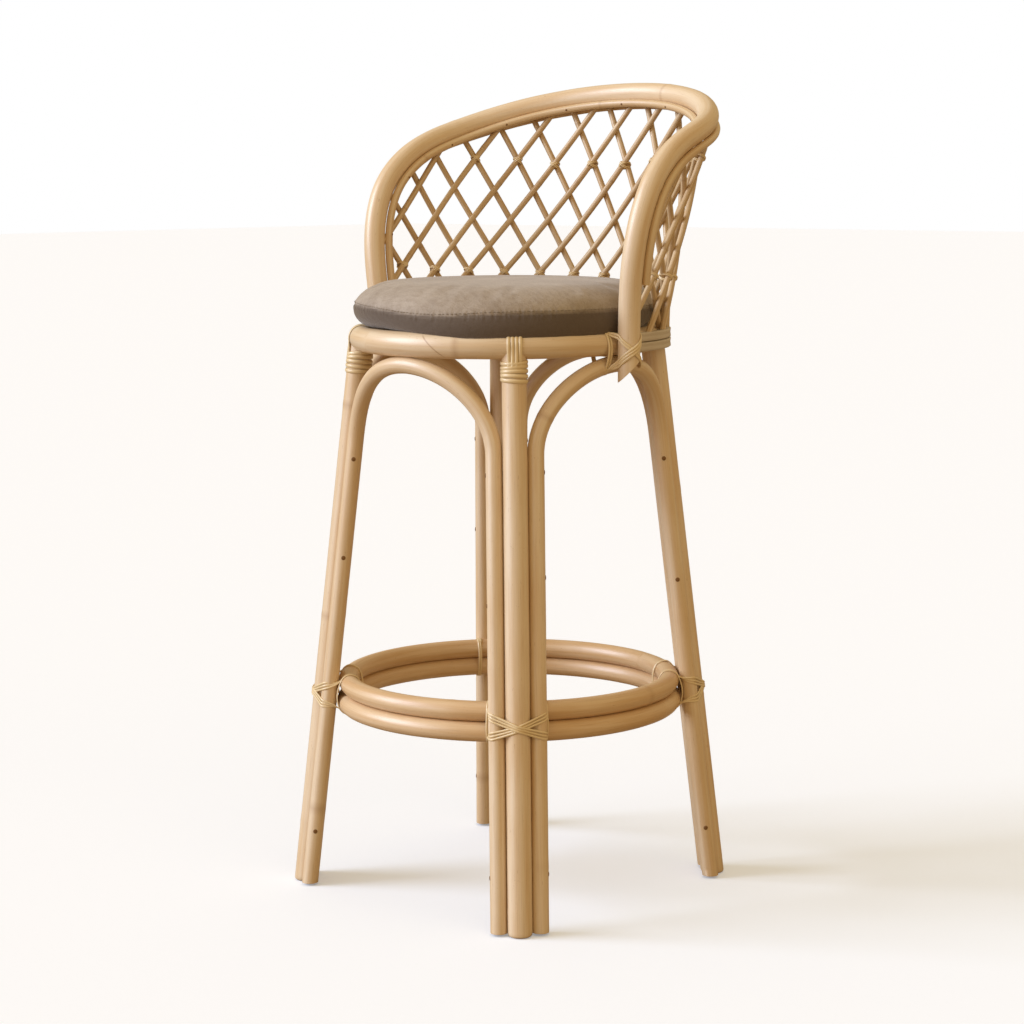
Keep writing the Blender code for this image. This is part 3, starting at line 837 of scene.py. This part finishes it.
def ring_turn(theta, centre, pole, start, stop, gap=0.0004):
    """Rows round a ring's outline at theta, from one angle of its section (0 outwards, 90 up) to another."""
    radius, z = centre
    rows = []
    for a in np.radians(np.linspace(start, stop, 7)):
        facing = facing_at(theta, a)
        rows.append([*(around(theta, radius, z) + facing * (pole + gap)), *facing])
    return rows


def upright_loop(theta, low, high):
    """A closed turn round two poles, one over the other."""
    return ring_turn(theta, *low, -20, -160, 0.0003) + ring_turn(theta, *high, 160, 20, 0.0003)


# %% [markdown]
# Where a leg and its two arch poles meet the footrest, three strands cross one way and three the other,
# fanned out at their ends, and two upright turns stand on each side. A diagonal starts behind one ring,
# lies taut over the three poles and ends behind the other ring.

# %% Footrest bindings
BUNDLE_HALF = ARCH_ASIDE + ARCH_POLE


def diagonal(theta, tilt, number, lift):
    """Rows of one strand over the three poles: number -1, 0 or 1 is its place in the fan."""
    r = leg_radius(RING_Z)
    bundle = [(side * ARCH_ASIDE, r - ARCH_INSET, ARCH_POLE) for side in (-1, 1)]
    across, out = outer_line([(0, r, LEG_POLE + 0.0002)] + bundle, BUNDLE_HALF - 0.0008)
    rows = []
    for a, o in zip(across, out):
        share = a / BUNDLE_HALF
        z = RING_Z + tilt * 0.0122 * share + number * (0.0027 + 0.0014 * abs(share))
        lean_in = leg_radius(z) - r
        slope = (np.interp(a + 0.001, across, out) - np.interp(a - 0.001, across, out)) / 0.002
        facing = unit(outward_at(theta) - tangent_at(theta) * slope)
        proud = lift * math.exp(-(a / 0.009) ** 2) + 0.0002
        rows.append([*beside(theta, a, o + lean_in + proud, z), *facing])
    return rows


def make_footrest_bindings():
    for where, theta in LEG_THETAS.items():
        strands = []
        for tilt, lift in ((-1, 0.0), (1, 0.0013)):
            first, last = (LOWER_RING, UPPER_RING) if tilt > 0 else (UPPER_RING, LOWER_RING)
            for number in (-1, 0, 1):
                turn = 8.75 + 0.3 * number * tilt
                begin = ring_turn(theta - turn, *first, -tilt * 130, -tilt * 26)
                end = ring_turn(theta + turn, *last, tilt * 26, tilt * 130)
                rows = begin[::2] + diagonal(theta, tilt, number, lift)[2:-2:3] + end[::2]
                strands.append(strap(rows, 0.0031, 0.0013, 90))
        for side in (-1, 1):
            for turn in (8.8, 9.5):
                rows = upright_loop(theta + side * turn, LOWER_RING, UPPER_RING)
                strands.append(strap(rows, 0.0027, 0.0012, 80, True))
        piece = join(f"footrest_lashing_{where}", strands)
        settle(piece, "frame", "peel_binding", f"footrest_binding_{where}")


make_footrest_bindings()


# %% [markdown]
# At each arm the hoop's foot is lashed to the rim and to the arch under it. Two upright turns stand in
# front of the foot. From their top two strands run down over the foot to the rear, and from their bottom
# three run up over it, so that they cross on the foot's outer face. A short loose end sticks out at the
# top.

# %% Arm bindings
FOOT_THETA = math.degrees(math.atan2(HOOP_HALF[1][0], HOOP_HALF[1][1]))
FOOT_R = math.hypot(HOOP_HALF[1][0], HOOP_HALF[1][1])
ARCH_TOP = ((RIM_R, RIM_Z - RIM_POLE - ARCH_POLE - 0.0008), ARCH_POLE)
RIM_HERE = ((RIM_R, RIM_Z), RIM_POLE)


def foot_rows(heights, lift):
    """Rows round the foot's face, from its front (-105 degrees) over the outside (0) to the rear side."""
    rows = []
    for phi in np.radians(np.arange(-105, 66, 17)):
        share = (phi - math.radians(-105)) / math.radians(170)
        facing = outward_at(FOOT_THETA) * math.cos(phi) - tangent_at(FOOT_THETA) * math.sin(phi)
        proud = HOOP_POLE + 0.0003 + lift * math.exp(-((share - 0.5) / 0.2) ** 2)
        z = heights[0] + (heights[1] - heights[0]) * share
        rows.append([*(around(FOOT_THETA, FOOT_R, z) + facing * proud), *facing])
    return rows


def arm_strands():
    """The strands of the +X arm's lashing, as rows with the width of each."""
    front, rear = FOOT_THETA + 4.6, FOOT_THETA - 4.8
    found = [(upright_loop(front + turn, ARCH_TOP, RIM_HERE), True) for turn in (0.0, 1.12)]
    for number in (0, 1):
        z = -0.0038 * number
        start = ring_turn(front + 0.3 * number, *RIM_HERE, 125 - 12 * number, 62 - 12 * number)[::2]
        rows = start + foot_rows((0.7098 + z, 0.6765 + z), 0.0)
        found.append((rows + ring_turn(rear, *RIM_HERE, -45 - 14 * number, -120)[::2], False))
    for number in (-1, 0, 1):
        z = 0.0038 * number
        start = ring_turn(front + 0.4 * number, *ARCH_TOP, -120, -38)[::2]
        rows = start + foot_rows((0.6775 + z, 0.7085 + z), 0.0013)
        found.append((rows + ring_turn(rear - 0.5 * number, *RIM_HERE, 66, 125)[::2], False))
    shoulder = ring_turn(front + 0.6, *RIM_HERE, 80, 66)[::3]
    last = np.array(shoulder[-1])
    sticks_out = tangent_at(front) + outward_at(front) * 0.3 + np.array([0, 0, 0.35])
    tail = [[*(last[:3] + far * sticks_out), *last[3:]] for far in (0.006, 0.0105)]
    found.append((shoulder + tail, False))
    return found


def make_arm_bindings():
    for where, side in (("right", 1), ("left", -1)):
        strands = []
        for rows, closed in arm_strands():
            rows = np.array(rows) * np.array([side, 1, 1, side, 1, 1])
            strands.append(strap(rows, 0.0035, 0.0013, 80, closed))
        piece = join(f"arm_lashing_{where}", strands)
        settle(piece, "frame", "peel_binding", f"arm_binding_{where}")


make_arm_bindings()


# %% [markdown]
# The front legs carry a wrap: five flat turns round the pole, and four straps from under them over the rim.

# %% Leg wraps
WRAP_FOOT_Z, WRAP_STEP = 0.6597, 0.0053
STRAP_STEP = 0.0047
STRAP_FEET_Z = (0.676, 0.684)


def wrap_turn(theta, number):
    """One flat turn round the leg's pole, a little askew."""
    lean = math.sqrt(1 + ((LEG_FOOT_R - LEG_TOP_R) / RIM_Z) ** 2)
    z = WRAP_FOOT_Z + WRAP_STEP * number
    rows = []
    for a in np.radians(np.arange(0, 360, 15)):
        out, side = outward_at(theta) * math.cos(a), tangent_at(theta) * math.sin(a)
        here = around(theta, leg_radius(z), z + 0.0012 * math.sin(a + number))
        rows.append([*(here + (LEG_POLE + 0.0002) * (out * lean + side)), *(out + side)])
    return rows


def wrap_strap(theta, aside):
    """A strap from the outside of the leg over the rim to the inside of the leg."""
    reach = math.sqrt(LEG_POLE ** 2 - aside ** 2) + 0.0004

    def on_leg(side, z):
        return [*beside(theta, aside * 0.92, leg_radius(z) + side * reach, z), *(side * outward_at(theta))]

    over = []
    for a in np.radians((-8, 15, 40, 65, 90, 115, 140, 165, 188)):
        facing = facing_at(theta, a)
        over.append([*(beside(theta, aside, RIM_R, RIM_Z) + facing * (RIM_POLE + 0.0003)), *facing])
    return [on_leg(1, z) for z in STRAP_FEET_Z] + over + [on_leg(-1, z) for z in STRAP_FEET_Z[::-1]]


def make_leg_wraps():
    for where in ("front_right", "front_left"):
        theta = LEG_THETAS[where]
        strands = [strap(wrap_turn(theta, number), 0.0054, 0.0016, 90, True) for number in range(5)]
        for number in range(4):
            rows = wrap_strap(theta, (number - 1.5) * STRAP_STEP)
            strands.append(strap(rows, 0.0048, 0.0014, 70))
        piece = join(f"leg_lashing_{where}", strands)
        settle(piece, "frame", "peel_binding", f"leg_wrap_{where}")


make_leg_wraps()
print("made the bindings")


# %% [markdown]
# Small things that repeat are set out by one more Geometry Nodes tree. It reads a cloud of points, each
# with the direction that the thing faces and the direction of its top, and puts a copy of one small mesh on
# every point. Ties, nail heads and stitches all come from it.

# %% The setting-out tree
def set_out_tree():
    tree = bpy.data.node_groups.new("set_out", "GeometryNodeTree")
    names = {"points": tree_input(tree, "Points", "NodeSocketGeometry")}
    for name, kind in (("thing", "NodeSocketObject"), ("finish", "NodeSocketMaterial")):
        names[name] = tree_input(tree, name, kind)
    tree.interface.new_socket("Mesh", in_out="OUTPUT", socket_type="NodeSocketGeometry")
    graph = Graph(tree)
    given = graph.add("NodeGroupInput")
    facing, top = (graph.add("GeometryNodeInputNamedAttribute", {"data_type": "FLOAT_VECTOR"}, {"Name": name})
                   for name in ("facing", "top"))
    axes = {"primary_axis": "Z", "secondary_axis": "X"}
    turn = graph.add("FunctionNodeAxesToRotation", axes, {0: graph.out(facing), 1: graph.out(top)})
    kept = {"transform_space": "ORIGINAL"}
    thing = graph.add("GeometryNodeObjectInfo", kept, {0: graph.out(given, "thing")})
    sockets = {"Points": graph.out(given, "Points"), "Instance": graph.out(thing, "Geometry")}
    sockets["Rotation"] = graph.out(turn)
    placed = graph.add("GeometryNodeInstanceOnPoints", (), sockets)
    finish_tree(graph, given, placed)
    return tree, names


SET_OUT_TREE, SET_OUT_INPUTS = set_out_tree()


def set_out(name, rows, thing, finish):
    """A copy of `thing` for each row of (place, facing, top), as one piece. The thing itself goes."""
    mesh = bpy.data.meshes.new(name)
    mesh.from_pydata([list(place) for place, _, _ in rows], [], [])
    for key, at in (("facing", 1), ("top", 2)):
        directions = np.array([row[at] for row in rows], float)
        mesh.attributes.new(key, "FLOAT_VECTOR", "POINT").data.foreach_set("vector", directions.ravel())
    source = in_scene(name, mesh)
    step = source.modifiers.new("set_out", "NODES")
    step.node_group = SET_OUT_TREE
    step[SET_OUT_INPUTS["thing"]] = thing
    step[SET_OUT_INPUTS["finish"]] = finish
    made = frozen(source, name)
    bpy.data.objects.remove(thing)
    made.data.shade_smooth()
    return made


# %% [markdown]
# Two rows of crossings are tied: the lowest that clears the cushion and the last full one below the hoop.
# Each tie is two turns of narrow peel that cross over the canes. One tie is drawn at the origin, facing up,
# and set out on the crossings.

# %% Lattice ties
TIED_ROWS = (0, 4)
TIE_ACROSS, TIE_OUT = 0.0066, 0.0082


def one_tie():
    """Two oval turns at a slant to each other. X is up the back, Y across it and Z out of it."""
    loops = []
    for slant in (-1, 1):
        for beside_first in (-0.0009, 0.0009):
            turn = math.radians(slant * 34)
            rows = []
            for a in np.radians(np.arange(0, 360, 24)):
                across, out = TIE_ACROSS * math.cos(a), TIE_OUT * math.sin(a)
                place = np.array([across * math.sin(turn) - 0.0012, across * math.cos(turn), out])
                sideways = beside_first * np.array([math.cos(turn), -math.sin(turn), 0])
                place += sideways + slant * 0.0003 * unit(place)
                rows.append([*place, *unit([0.0, math.cos(a) / TIE_ACROSS, math.sin(a) / TIE_OUT])])
            loops.append(strap(rows, 0.0018, 0.0008, 26, True))
    return join("tie", loops)


def make_ties():
    rows = []
    for row in TIED_ROWS:
        for inner in CANE_NUMBERS:
            # the outer cane that crosses here has the index that gives both the same theta
            outer = -inner - row
            moved = row + (stray(outer, -1, row) - stray(inner, 1, row)) / LATTICE_PITCH
            theta, z = cane_place(inner, 1, moved)
            if outer not in CANE_NUMBERS or abs(theta) > 88:
                continue
            radius, hoop_z = lattice_radius(theta, z)
            higher, _ = lattice_radius(theta, z + 0.01)
            top = unit(outward_at(theta) * (higher - radius) + np.array([0, 0, 0.01]))
            if z < hoop_z - 0.030:
                rows.append((around(theta, radius, z), np.cross(top, np.cross(outward_at(theta), top)), top))
    ties = set_out("lattice_ties", rows, one_tie(), PEEL)
    settle(ties, "frame", "peel_binding")
    print(f"tied {len(rows)} crossings with {len(ties.data.polygons)} faces")


make_ties()


# %% [markdown]
# Nails hold the arch poles to the legs, the bands to the rim and the strips to the hoop. A head is a
# shallow dome with a bevelled edge, and it has dulled to brown.

# %% Nail heads
def nail_finish():
    material, graph, shader = new_material("nail_head")
    place = graph.place()
    rust = graph.noise(place, 900.0, 3.0)
    plug(graph, graph.mix(rust, srgb(112, 80, 48), srgb(152, 112, 68)), shader.inputs["Base Color"])
    plug(graph, 0.42 + rust * 0.25, shader.inputs["Roughness"])
    shader.inputs["Metallic"].default_value = 0.35
    return material


NAIL = nail_finish()


def one_nail(radius, proud):
    steps = [(1.0, -0.3), (1.0, 0.25), (0.86, 0.62), (0.55, 0.90), (0.12, 1.0)]
    turns = np.radians(np.arange(0, 360, 30))
    rings = [[(radius * r * math.cos(t), radius * r * math.sin(t), proud * h) for t in turns]
             for r, h in steps]
    return loft("nail", rings, False, NAIL)


# heights of the nails in the arch poles, by the side of the leg that they stand on
ARCH_NAILS = {1: (0.547, 0.392, 0.068), -1: (0.550, 0.425, 0.072)}


def make_nails():
    up = np.array([0.0, 0.0, 1.0])
    big, small = [], []
    for theta in LEG_THETAS.values():
        for side, heights in ARCH_NAILS.items():
            for z in heights:
                middle = beside(theta, side * ARCH_ASIDE, leg_radius(z) - ARCH_INSET, z)
                facing = side * tangent_at(theta)
                big.append((middle + facing * ARCH_POLE, facing, up))
    for band in ("upper", "lower"):
        low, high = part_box(f"split_band_{band}")
        for theta in np.arange(-81, 82, 27):
            turned = theta + (6 if band == "lower" else 0)
            spot = around(turned, RIM_R + RIM_POLE + BAND_THICK - 0.0006, (low.z + high.z) / 2)
            small.append((spot, outward_at(turned), up))
    hoop = hoop_path(300)
    tangents = unit(np.gradient(hoop, axis=0))
    inner = np.array(strip_path(hoop, *STRIPS["inner"][:2], 0.78))
    for at in range(12, len(inner) - 6, 22):
        nearest = np.argmin(np.linalg.norm(hoop - inner[at], axis=1))
        away = unit(inner[at] - hoop[nearest])
        upward = np.cross(away, tangents[nearest])
        facing = unit(away + 0.6 * upward * np.sign(upward[2]))
        small.append((inner[at] + facing * STRIP_CANE, facing, tangents[nearest]))
    settle(set_out("arch_nails", big, one_nail(0.0028, 0.0007), NAIL), "frame", "rattan_pole")
    settle(set_out("pin_nails", small, one_nail(0.0014, 0.0005), NAIL), "frame", "rattan_pole")
    print(f"drove {len(big)} nails and {len(small)} pins")


make_nails()


# %% [markdown]
# The cushion is a round foam pad in a taupe brushed cover: a flat top with full shoulders, a seam at the
# edge, and a boxing that tucks in towards the rim, coloured darker as painted shade for a side turned away
# from the light. The cover is matt with a soft nap and a fine weave under it. It is darker still in the
# seam, and the hollows of the puckers beside the seam are darkened as painted shade. It is turned like a pot
# first, and most of its shape comes from that outline.

# %% Cushion cover finish
def cloth_finish():
    material, graph, shader = new_material("cushion_cloth")
    place = graph.place()
    seam, boxing = graph.attribute("seam"), graph.attribute("boxing")
    soft = graph.noise(place, 16.0, 3.0)
    brushed = graph.noise(graph.vector_math("MULTIPLY", place, (90.0, 240.0, 160.0)), 1.0, 3.0, 0.6)
    fine = graph.noise(place, 760.0, 2.0, 0.7)
    colour = graph.mix(graph.step(soft, 0.32, 0.68), srgb(160, 146, 131), srgb(179, 166, 151))
    colour = graph.mix(graph.step(brushed, 0.42, 0.66) * 0.30, colour, srgb(132, 115, 99))
    colour = graph.mix(graph.step(fine, 0.45, 0.65) * 0.30, colour, srgb(124, 108, 93))
    # painted shade: the boxing is darkened for a side that faces away from the light
    colour = graph.mix(boxing * 0.88, colour, srgb(82, 67, 54))
    # the seam line is darker, and painted shade darkens the hollows of the puckers beside it
    colour = graph.mix(seam * 0.55, colour, srgb(84, 70, 58))
    plug(graph, colour, shader.inputs["Base Color"])
    plug(graph, 0.82 + fine * 0.15, shader.inputs["Roughness"])
    shader.inputs["Sheen Weight"].default_value = 0.30
    shader.inputs["Sheen Roughness"].default_value = 0.45
    weave = graph.add("ShaderNodeTexWave", {"wave_type": "BANDS", "bands_direction": "X"},
                      {"Vector": place, "Scale": 210.0, "Distortion": 1.5, "Detail": 1.0})
    height = fine + brushed * 1.2 + graph.out(weave, 1) * 0.25
    plug(graph, graph.bump(0.40, 0.0007, height), shader.inputs["Normal"])
    return material


CLOTH = cloth_finish()

# %% Turn the pad
cushion_low, cushion_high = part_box("seat_cushion")
CUSHION_XY = np.array((cushion_low + cushion_high) / 2)[:2]
# (radius, height) from the middle of the top over the shoulder, down the boxing and under to the board
CUSHION_PROFILE = [
    (0.0, 0.7745), (0.08, 0.7740), (0.13, 0.7720), (0.160, 0.7680), (0.177, 0.7600), (0.187, 0.7500),
    (0.1905, 0.7420), (0.1908, 0.7360), (0.1885, 0.7285), (0.1845, 0.7215), (0.1795, 0.7170),
    (0.165, 0.7140), (0.10, 0.7135), (0.0, 0.7135),
]
WIDEST, PAD_TOP, PAD_FOOT = 0.1912, 0.7745, 0.7135


def turned_pad():
    profile = spline_through([(r, 0, z) for r, z in CUSHION_PROFILE], 60)
    rings = []
    for r, _, z in profile[1:-1]:
        r = max(r, 0.001)
        turns = np.radians(np.arange(0, 360, 3))
        rings.append([(*(CUSHION_XY + r * np.array([math.cos(t), math.sin(t)])), z) for t in turns])
    return loft("cushion_pad", rings, False, CLOTH)


# %% [markdown]
# The softness of a filled cover is left to air to find: the pad is remeshed into even little squares and
# blown up as cloth for twenty frames. Each point is then held close to where it began, and the whole is
# scaled back to the pad's width and height, because air draws the sides in. Later the underside is pushed
# clear of the rim and the board, as a seat does to a pad.

# %% Blow up the pad
VOXEL = 0.0045
MOST_SWELL = 0.0024
BLOW_FRAMES = 20
COVER = {"quality": 5, "mass": 0.3, "tension_stiffness": 20, "compression_stiffness": 20,
         "bending_stiffness": 2.0, "use_pressure": True, "uniform_pressure_force": 4.0}


def all_points(mesh):
    points = np.empty(len(mesh.vertices) * 3, np.float32)
    mesh.vertices.foreach_get("co", points)
    return points.reshape(-1, 3).astype(float)


def set_points(mesh, points):
    mesh.vertices.foreach_set("co", np.asarray(points, np.float32).ravel())
    mesh.update()


def applied(thing):
    """The object with its modifiers made real."""
    mesh = evaluated_mesh(thing)
    thing.modifiers.clear()
    old, thing.data = thing.data, mesh
    bpy.data.meshes.remove(old)
    return thing


def fitted(points):
    """The points scaled to the pad's width and height."""
    middle = np.array([*CUSHION_XY, PAD_FOOT])
    wider = WIDEST / np.linalg.norm(points[:, :2] - CUSHION_XY, axis=1).max()
    taller = (PAD_TOP - PAD_FOOT) / (points[:, 2].max() - PAD_FOOT)
    return middle + (points - middle) * np.array([wider, wider, taller])


def blown_up(pad):
    remesh = pad.modifiers.new("squares", "REMESH")
    remesh.mode = "VOXEL"
    remesh.voxel_size = VOXEL
    applied(pad)
    before = all_points(pad.data)
    cloth = pad.modifiers.new("cover", "CLOTH")
    for key, value in COVER.items():
        setattr(cloth.settings, key, value)
    cloth.settings.effector_weights.gravity = 0
    for number in range(1, BLOW_FRAMES + 1):
        scene.frame_set(number)
    applied(pad)
    scene.frame_set(1)
    moved = all_points(pad.data) - before
    far = np.linalg.norm(moved, axis=1, keepdims=True)
    after = before + moved * np.minimum(1, MOST_SWELL / np.maximum(far, 1e-9))
    set_points(pad.data, fitted(after))
    print(f"the cover moved {far.max() * 1000:.1f} mm at most, held to {MOST_SWELL * 1000:.1f} mm")
    smooth = pad.modifiers.new("finer", "SUBSURF")
    smooth.levels = smooth.render_levels = 1
    applied(pad)
    pad.data.materials.clear()
    pad.data.materials.append(CLOTH)
    pad.data.shade_smooth()
    return pad


# %% [markdown]
# The seam comes last, because a seam is finer than the squares. Its height changes round the pad, since the
# pad lies a little askew. The cover is drawn in along the seam and puckers on both sides of it.

# %% Seat the pad and sew its seam
def bearing(points):
    """Degrees round the pad from the side that is nearest the viewer, to the viewer's left positive."""
    flat = points[:, :2] - CUSHION_XY
    return np.degrees(np.arctan2(flat @ -RIGHT[:2], flat @ NEAR[:2]))


def seam_height(points):
    """The seam dips a little left of the near side and rises towards the left."""
    turn = bearing(points)
    rise = np.clip(np.sin(np.radians(turn)), 0, 1) ** 3
    return 0.7392 + 0.0035 * rise - 0.0045 * np.exp(-((turn - 30) / 22) ** 2)


def from_axis(points, centre):
    """Each point's level offset from an upright axis, and its distance."""
    flat = points[:, :2] - centre
    return flat, np.maximum(np.linalg.norm(flat, axis=1), 1e-6)


def sagged(points):
    """On the side nearest the viewer the boxing has sagged over the rim's shoulder."""
    flat, radius = from_axis(points, CUSHION_XY)
    amount = np.clip((70 - np.abs(bearing(points) + 12)) / 45, 0, 1)
    amount = amount * amount * (3 - 2 * amount) * np.clip((0.740 - points[:, 2]) / 0.024, 0, 1)
    amount = amount * np.clip((radius - 0.165) / 0.012, 0, 1)
    moved = points.copy()
    moved[:, :2] += flat / radius[:, None] * (0.0125 * amount)[:, None]
    moved[:, 2] -= 0.0100 * amount
    return moved


def seated(points):
    """The points moved clear of the rim's pole and the seat board."""
    flat, radius = from_axis(points, np.array([0, SEAT_Y]))
    from_pole = np.stack([radius - RIM_R, points[:, 2] - RIM_Z], 1)
    gap = np.linalg.norm(from_pole, axis=1)
    reach = RIM_POLE + 0.0006
    push = np.where(gap < reach, reach / np.maximum(gap, 1e-6), 1)[:, None] * from_pole
    moved = points.copy()
    moved[:, :2] = flat * ((RIM_R + push[:, 0]) / radius)[:, None] + np.array([0, SEAT_Y])
    board_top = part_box("seat_board")[1].z + 0.0006
    moved[:, 2] = np.maximum(RIM_Z + push[:, 1], np.where(radius < 0.166, board_top, 0))
    return moved


def sewn(pad):
    """The pad seated, with its cover drawn in and puckered along the seam."""
    points = seated(sagged(all_points(pad.data)))
    flat, radius = from_axis(points, CUSHION_XY)
    angle = np.arctan2(flat[:, 1], flat[:, 0])
    off = points[:, 2] - seam_height(points)
    outside = (radius > 0.165) & (points[:, 2] > 0.722)
    line = np.exp(-(off / 0.0011) ** 2) * outside
    beside_line = np.exp(-((np.abs(off) - 0.0032) / 0.0022) ** 2) * outside
    ripple = np.sin(angle * 131) * np.sin(angle * 17 + 1) + 0.6 * np.sin(angle * 211 + 2 * np.sin(angle * 7))
    inward = -0.0011 * line + 0.00042 * beside_line * ripple
    boxing_only = np.exp(-((points[:, 2] - 0.728) / 0.010) ** 2) * (radius > 0.16)
    wander = 0.0007 * np.sin(angle * 5 + 0.6) * boxing_only
    points[:, :2] += flat / radius[:, None] * (inward + wander)[:, None]
    points[:, 2] += 0.00035 * beside_line * ripple
    set_points(pad.data, points)
    # the seam line, plus painted shade in the pucker hollows where the ripple dents the cover in
    shade = np.clip(line + 0.25 * beside_line * (ripple < -0.2), 0, 1)
    # painted shade: the boxing below the seam is marked to be darkened, for a side turned from the light
    boxing_shade_mask = np.clip((0.0015 - off) / 0.003, 0, 1)
    for key, values in (("seam", shade), ("boxing", boxing_shade_mask)):
        pad.data.attributes.new(key, "FLOAT", "POINT").data.foreach_set("value", values.astype(np.float32))
    return pad


def make_cushion():
    pad = sewn(blown_up(turned_pad()))
    settle(pad, "cushion", "cushion_cloth", "seat_cushion")
    print(f"cushion cover: {len(pad.data.polygons)} faces")
    return pad


CUSHION = make_cushion()


# %% [markdown]
# Short stitches run along the seam, just above it. The cover's own surface says where: a ray from outside
# finds it at each step.

# %% Stitches
def one_stitch():
    rows = [[x, 0, 0.0004 - 0.0007 * (x / 0.0017) ** 2, 0, 0, 1] for x in np.linspace(-0.0017, 0.0017, 5)]
    return strap(rows, 0.0007, 0.0004, 7)


def twist(graph, place):
    return graph.noise(place, 2400.0, 1.0)


THREAD = two_tone("seam_thread", srgb(104, 90, 76), srgb(168, 154, 136), 0.8, twist)


def make_stitches():
    middle = np.array([*CUSHION_XY, 0])
    rows = []
    for angle in np.radians(np.arange(0, 360, 1.55)):
        out = np.array([math.cos(angle), math.sin(angle), 0])
        z = seam_height((middle + out * 0.19)[None])[0] + 0.0030
        start = middle + out * 0.25 + np.array([0, 0, z])
        hit, place, normal, _ = CUSHION.ray_cast(Vector(start), Vector(-out))
        if hit:
            along = np.array([-math.sin(angle), math.cos(angle), 0])
            rows.append((np.array(place) + np.array(normal) * 0.0002, np.array(normal), along))
    stitches = set_out("cushion_stitches", rows, one_stitch(), THREAD)
    settle(stitches, "cushion", "cushion_cloth")
    print(f"sewed {len(rows)} stitches")


make_stitches()


# %% [markdown]
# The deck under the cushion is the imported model's own solid. It only gets a finish, a plain wood with its
# grain from side to side.

# %% Board finish
def board_grain(graph, place):
    grain = graph.noise(graph.vector_math("MULTIPLY", place, (6.0, 90.0, 60.0)), 1.0, 4.0)
    return graph.step(grain, 0.3, 0.7)


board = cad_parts["seat_board"]
board.data.materials.clear()
board.data.materials.append(two_tone("seat_board", srgb(176, 138, 92), srgb(205, 172, 128), 0.6, board_grain))


# %% [markdown]
# A pale floor and soft light from the viewer's left, with a bright even surround, as in a studio. The
# surround and the floor each look pale but light the stool warmly and less, so their look and their light
# are two shaders.

# %% Floor and light
def lit_and_seen(graph, lit, seen, output):
    """One shader lights the stool, and the other is what the camera sees."""
    ray = graph.add("ShaderNodeLightPath")
    sockets = {0: graph.out(ray, "Is Camera Ray"), 1: graph.out(lit), 2: graph.out(seen)}
    plug(graph, graph.out(graph.add("ShaderNodeMixShader", (), sockets)), output.inputs["Surface"])


def floor_finish():
    """A matt pale floor. It throws less light back up than it shows, like a floor of which little is lit."""
    material, graph, shader = new_material("floor")
    shader.inputs["Base Color"].default_value = (0.82, 0.87, 0.96, 1)
    shader.inputs["Emission Color"].default_value = (0.92, 0.96, 1, 1)
    shader.inputs["Emission Strength"].default_value = 0.25
    shader.inputs["Roughness"].default_value = 0.9
    shader.inputs["Specular IOR Level"].default_value = 0.0
    dim = graph.add("ShaderNodeBsdfDiffuse", (), {"Color": (0.34, 0.25, 0.15, 1)})
    lit_and_seen(graph, dim, shader, material.node_tree.nodes["Material Output"])
    return material


def sun(name, strength, colour, towards, spread):
    data = bpy.data.lights.new(name, "SUN")
    data.energy = strength
    data.color = colour
    data.angle = math.radians(spread)
    light = bpy.data.objects.new(name, data)
    light.rotation_mode = "QUATERNION"
    light.rotation_quaternion = Vector(towards).to_track_quat("Z", "Y")
    scene.collection.objects.link(light)


def make_studio():
    bpy.ops.mesh.primitive_plane_add(size=60, location=(0, 0, 0))
    floor = bpy.context.object
    floor.name = "floor"
    floor.data.materials.append(floor_finish())

    world = bpy.data.worlds.new("studio")
    scene.world = world
    world.use_nodes = True
    graph = Graph(world.node_tree)
    lit = world.node_tree.nodes["Background"]
    lit.inputs["Color"].default_value = (1.0, 0.76, 0.42, 1)
    lit.inputs["Strength"].default_value = 0.56
    seen = graph.add("ShaderNodeBackground", (), {"Color": (1, 1, 1, 1), "Strength": 1.0})
    lit_and_seen(graph, lit, seen, world.node_tree.nodes["World Output"])

    up = np.array([0, 0, 1])
    sun("key", 2.25, (0.90, 1.0, 1.20), -RIGHT + 0.05 * NEAR + 0.52 * up, 34)
    sun("side", 0.8, (0.90, 1.0, 1.25), -RIGHT + 0.45 * NEAR + 0.15 * up, 40)
    sun("fill", 0.35, (1.0, 0.78, 0.48), 0.5 * RIGHT + NEAR + 0.4 * up, 60)


make_studio()

# %% Finish
bpy.context.view_layer.update()
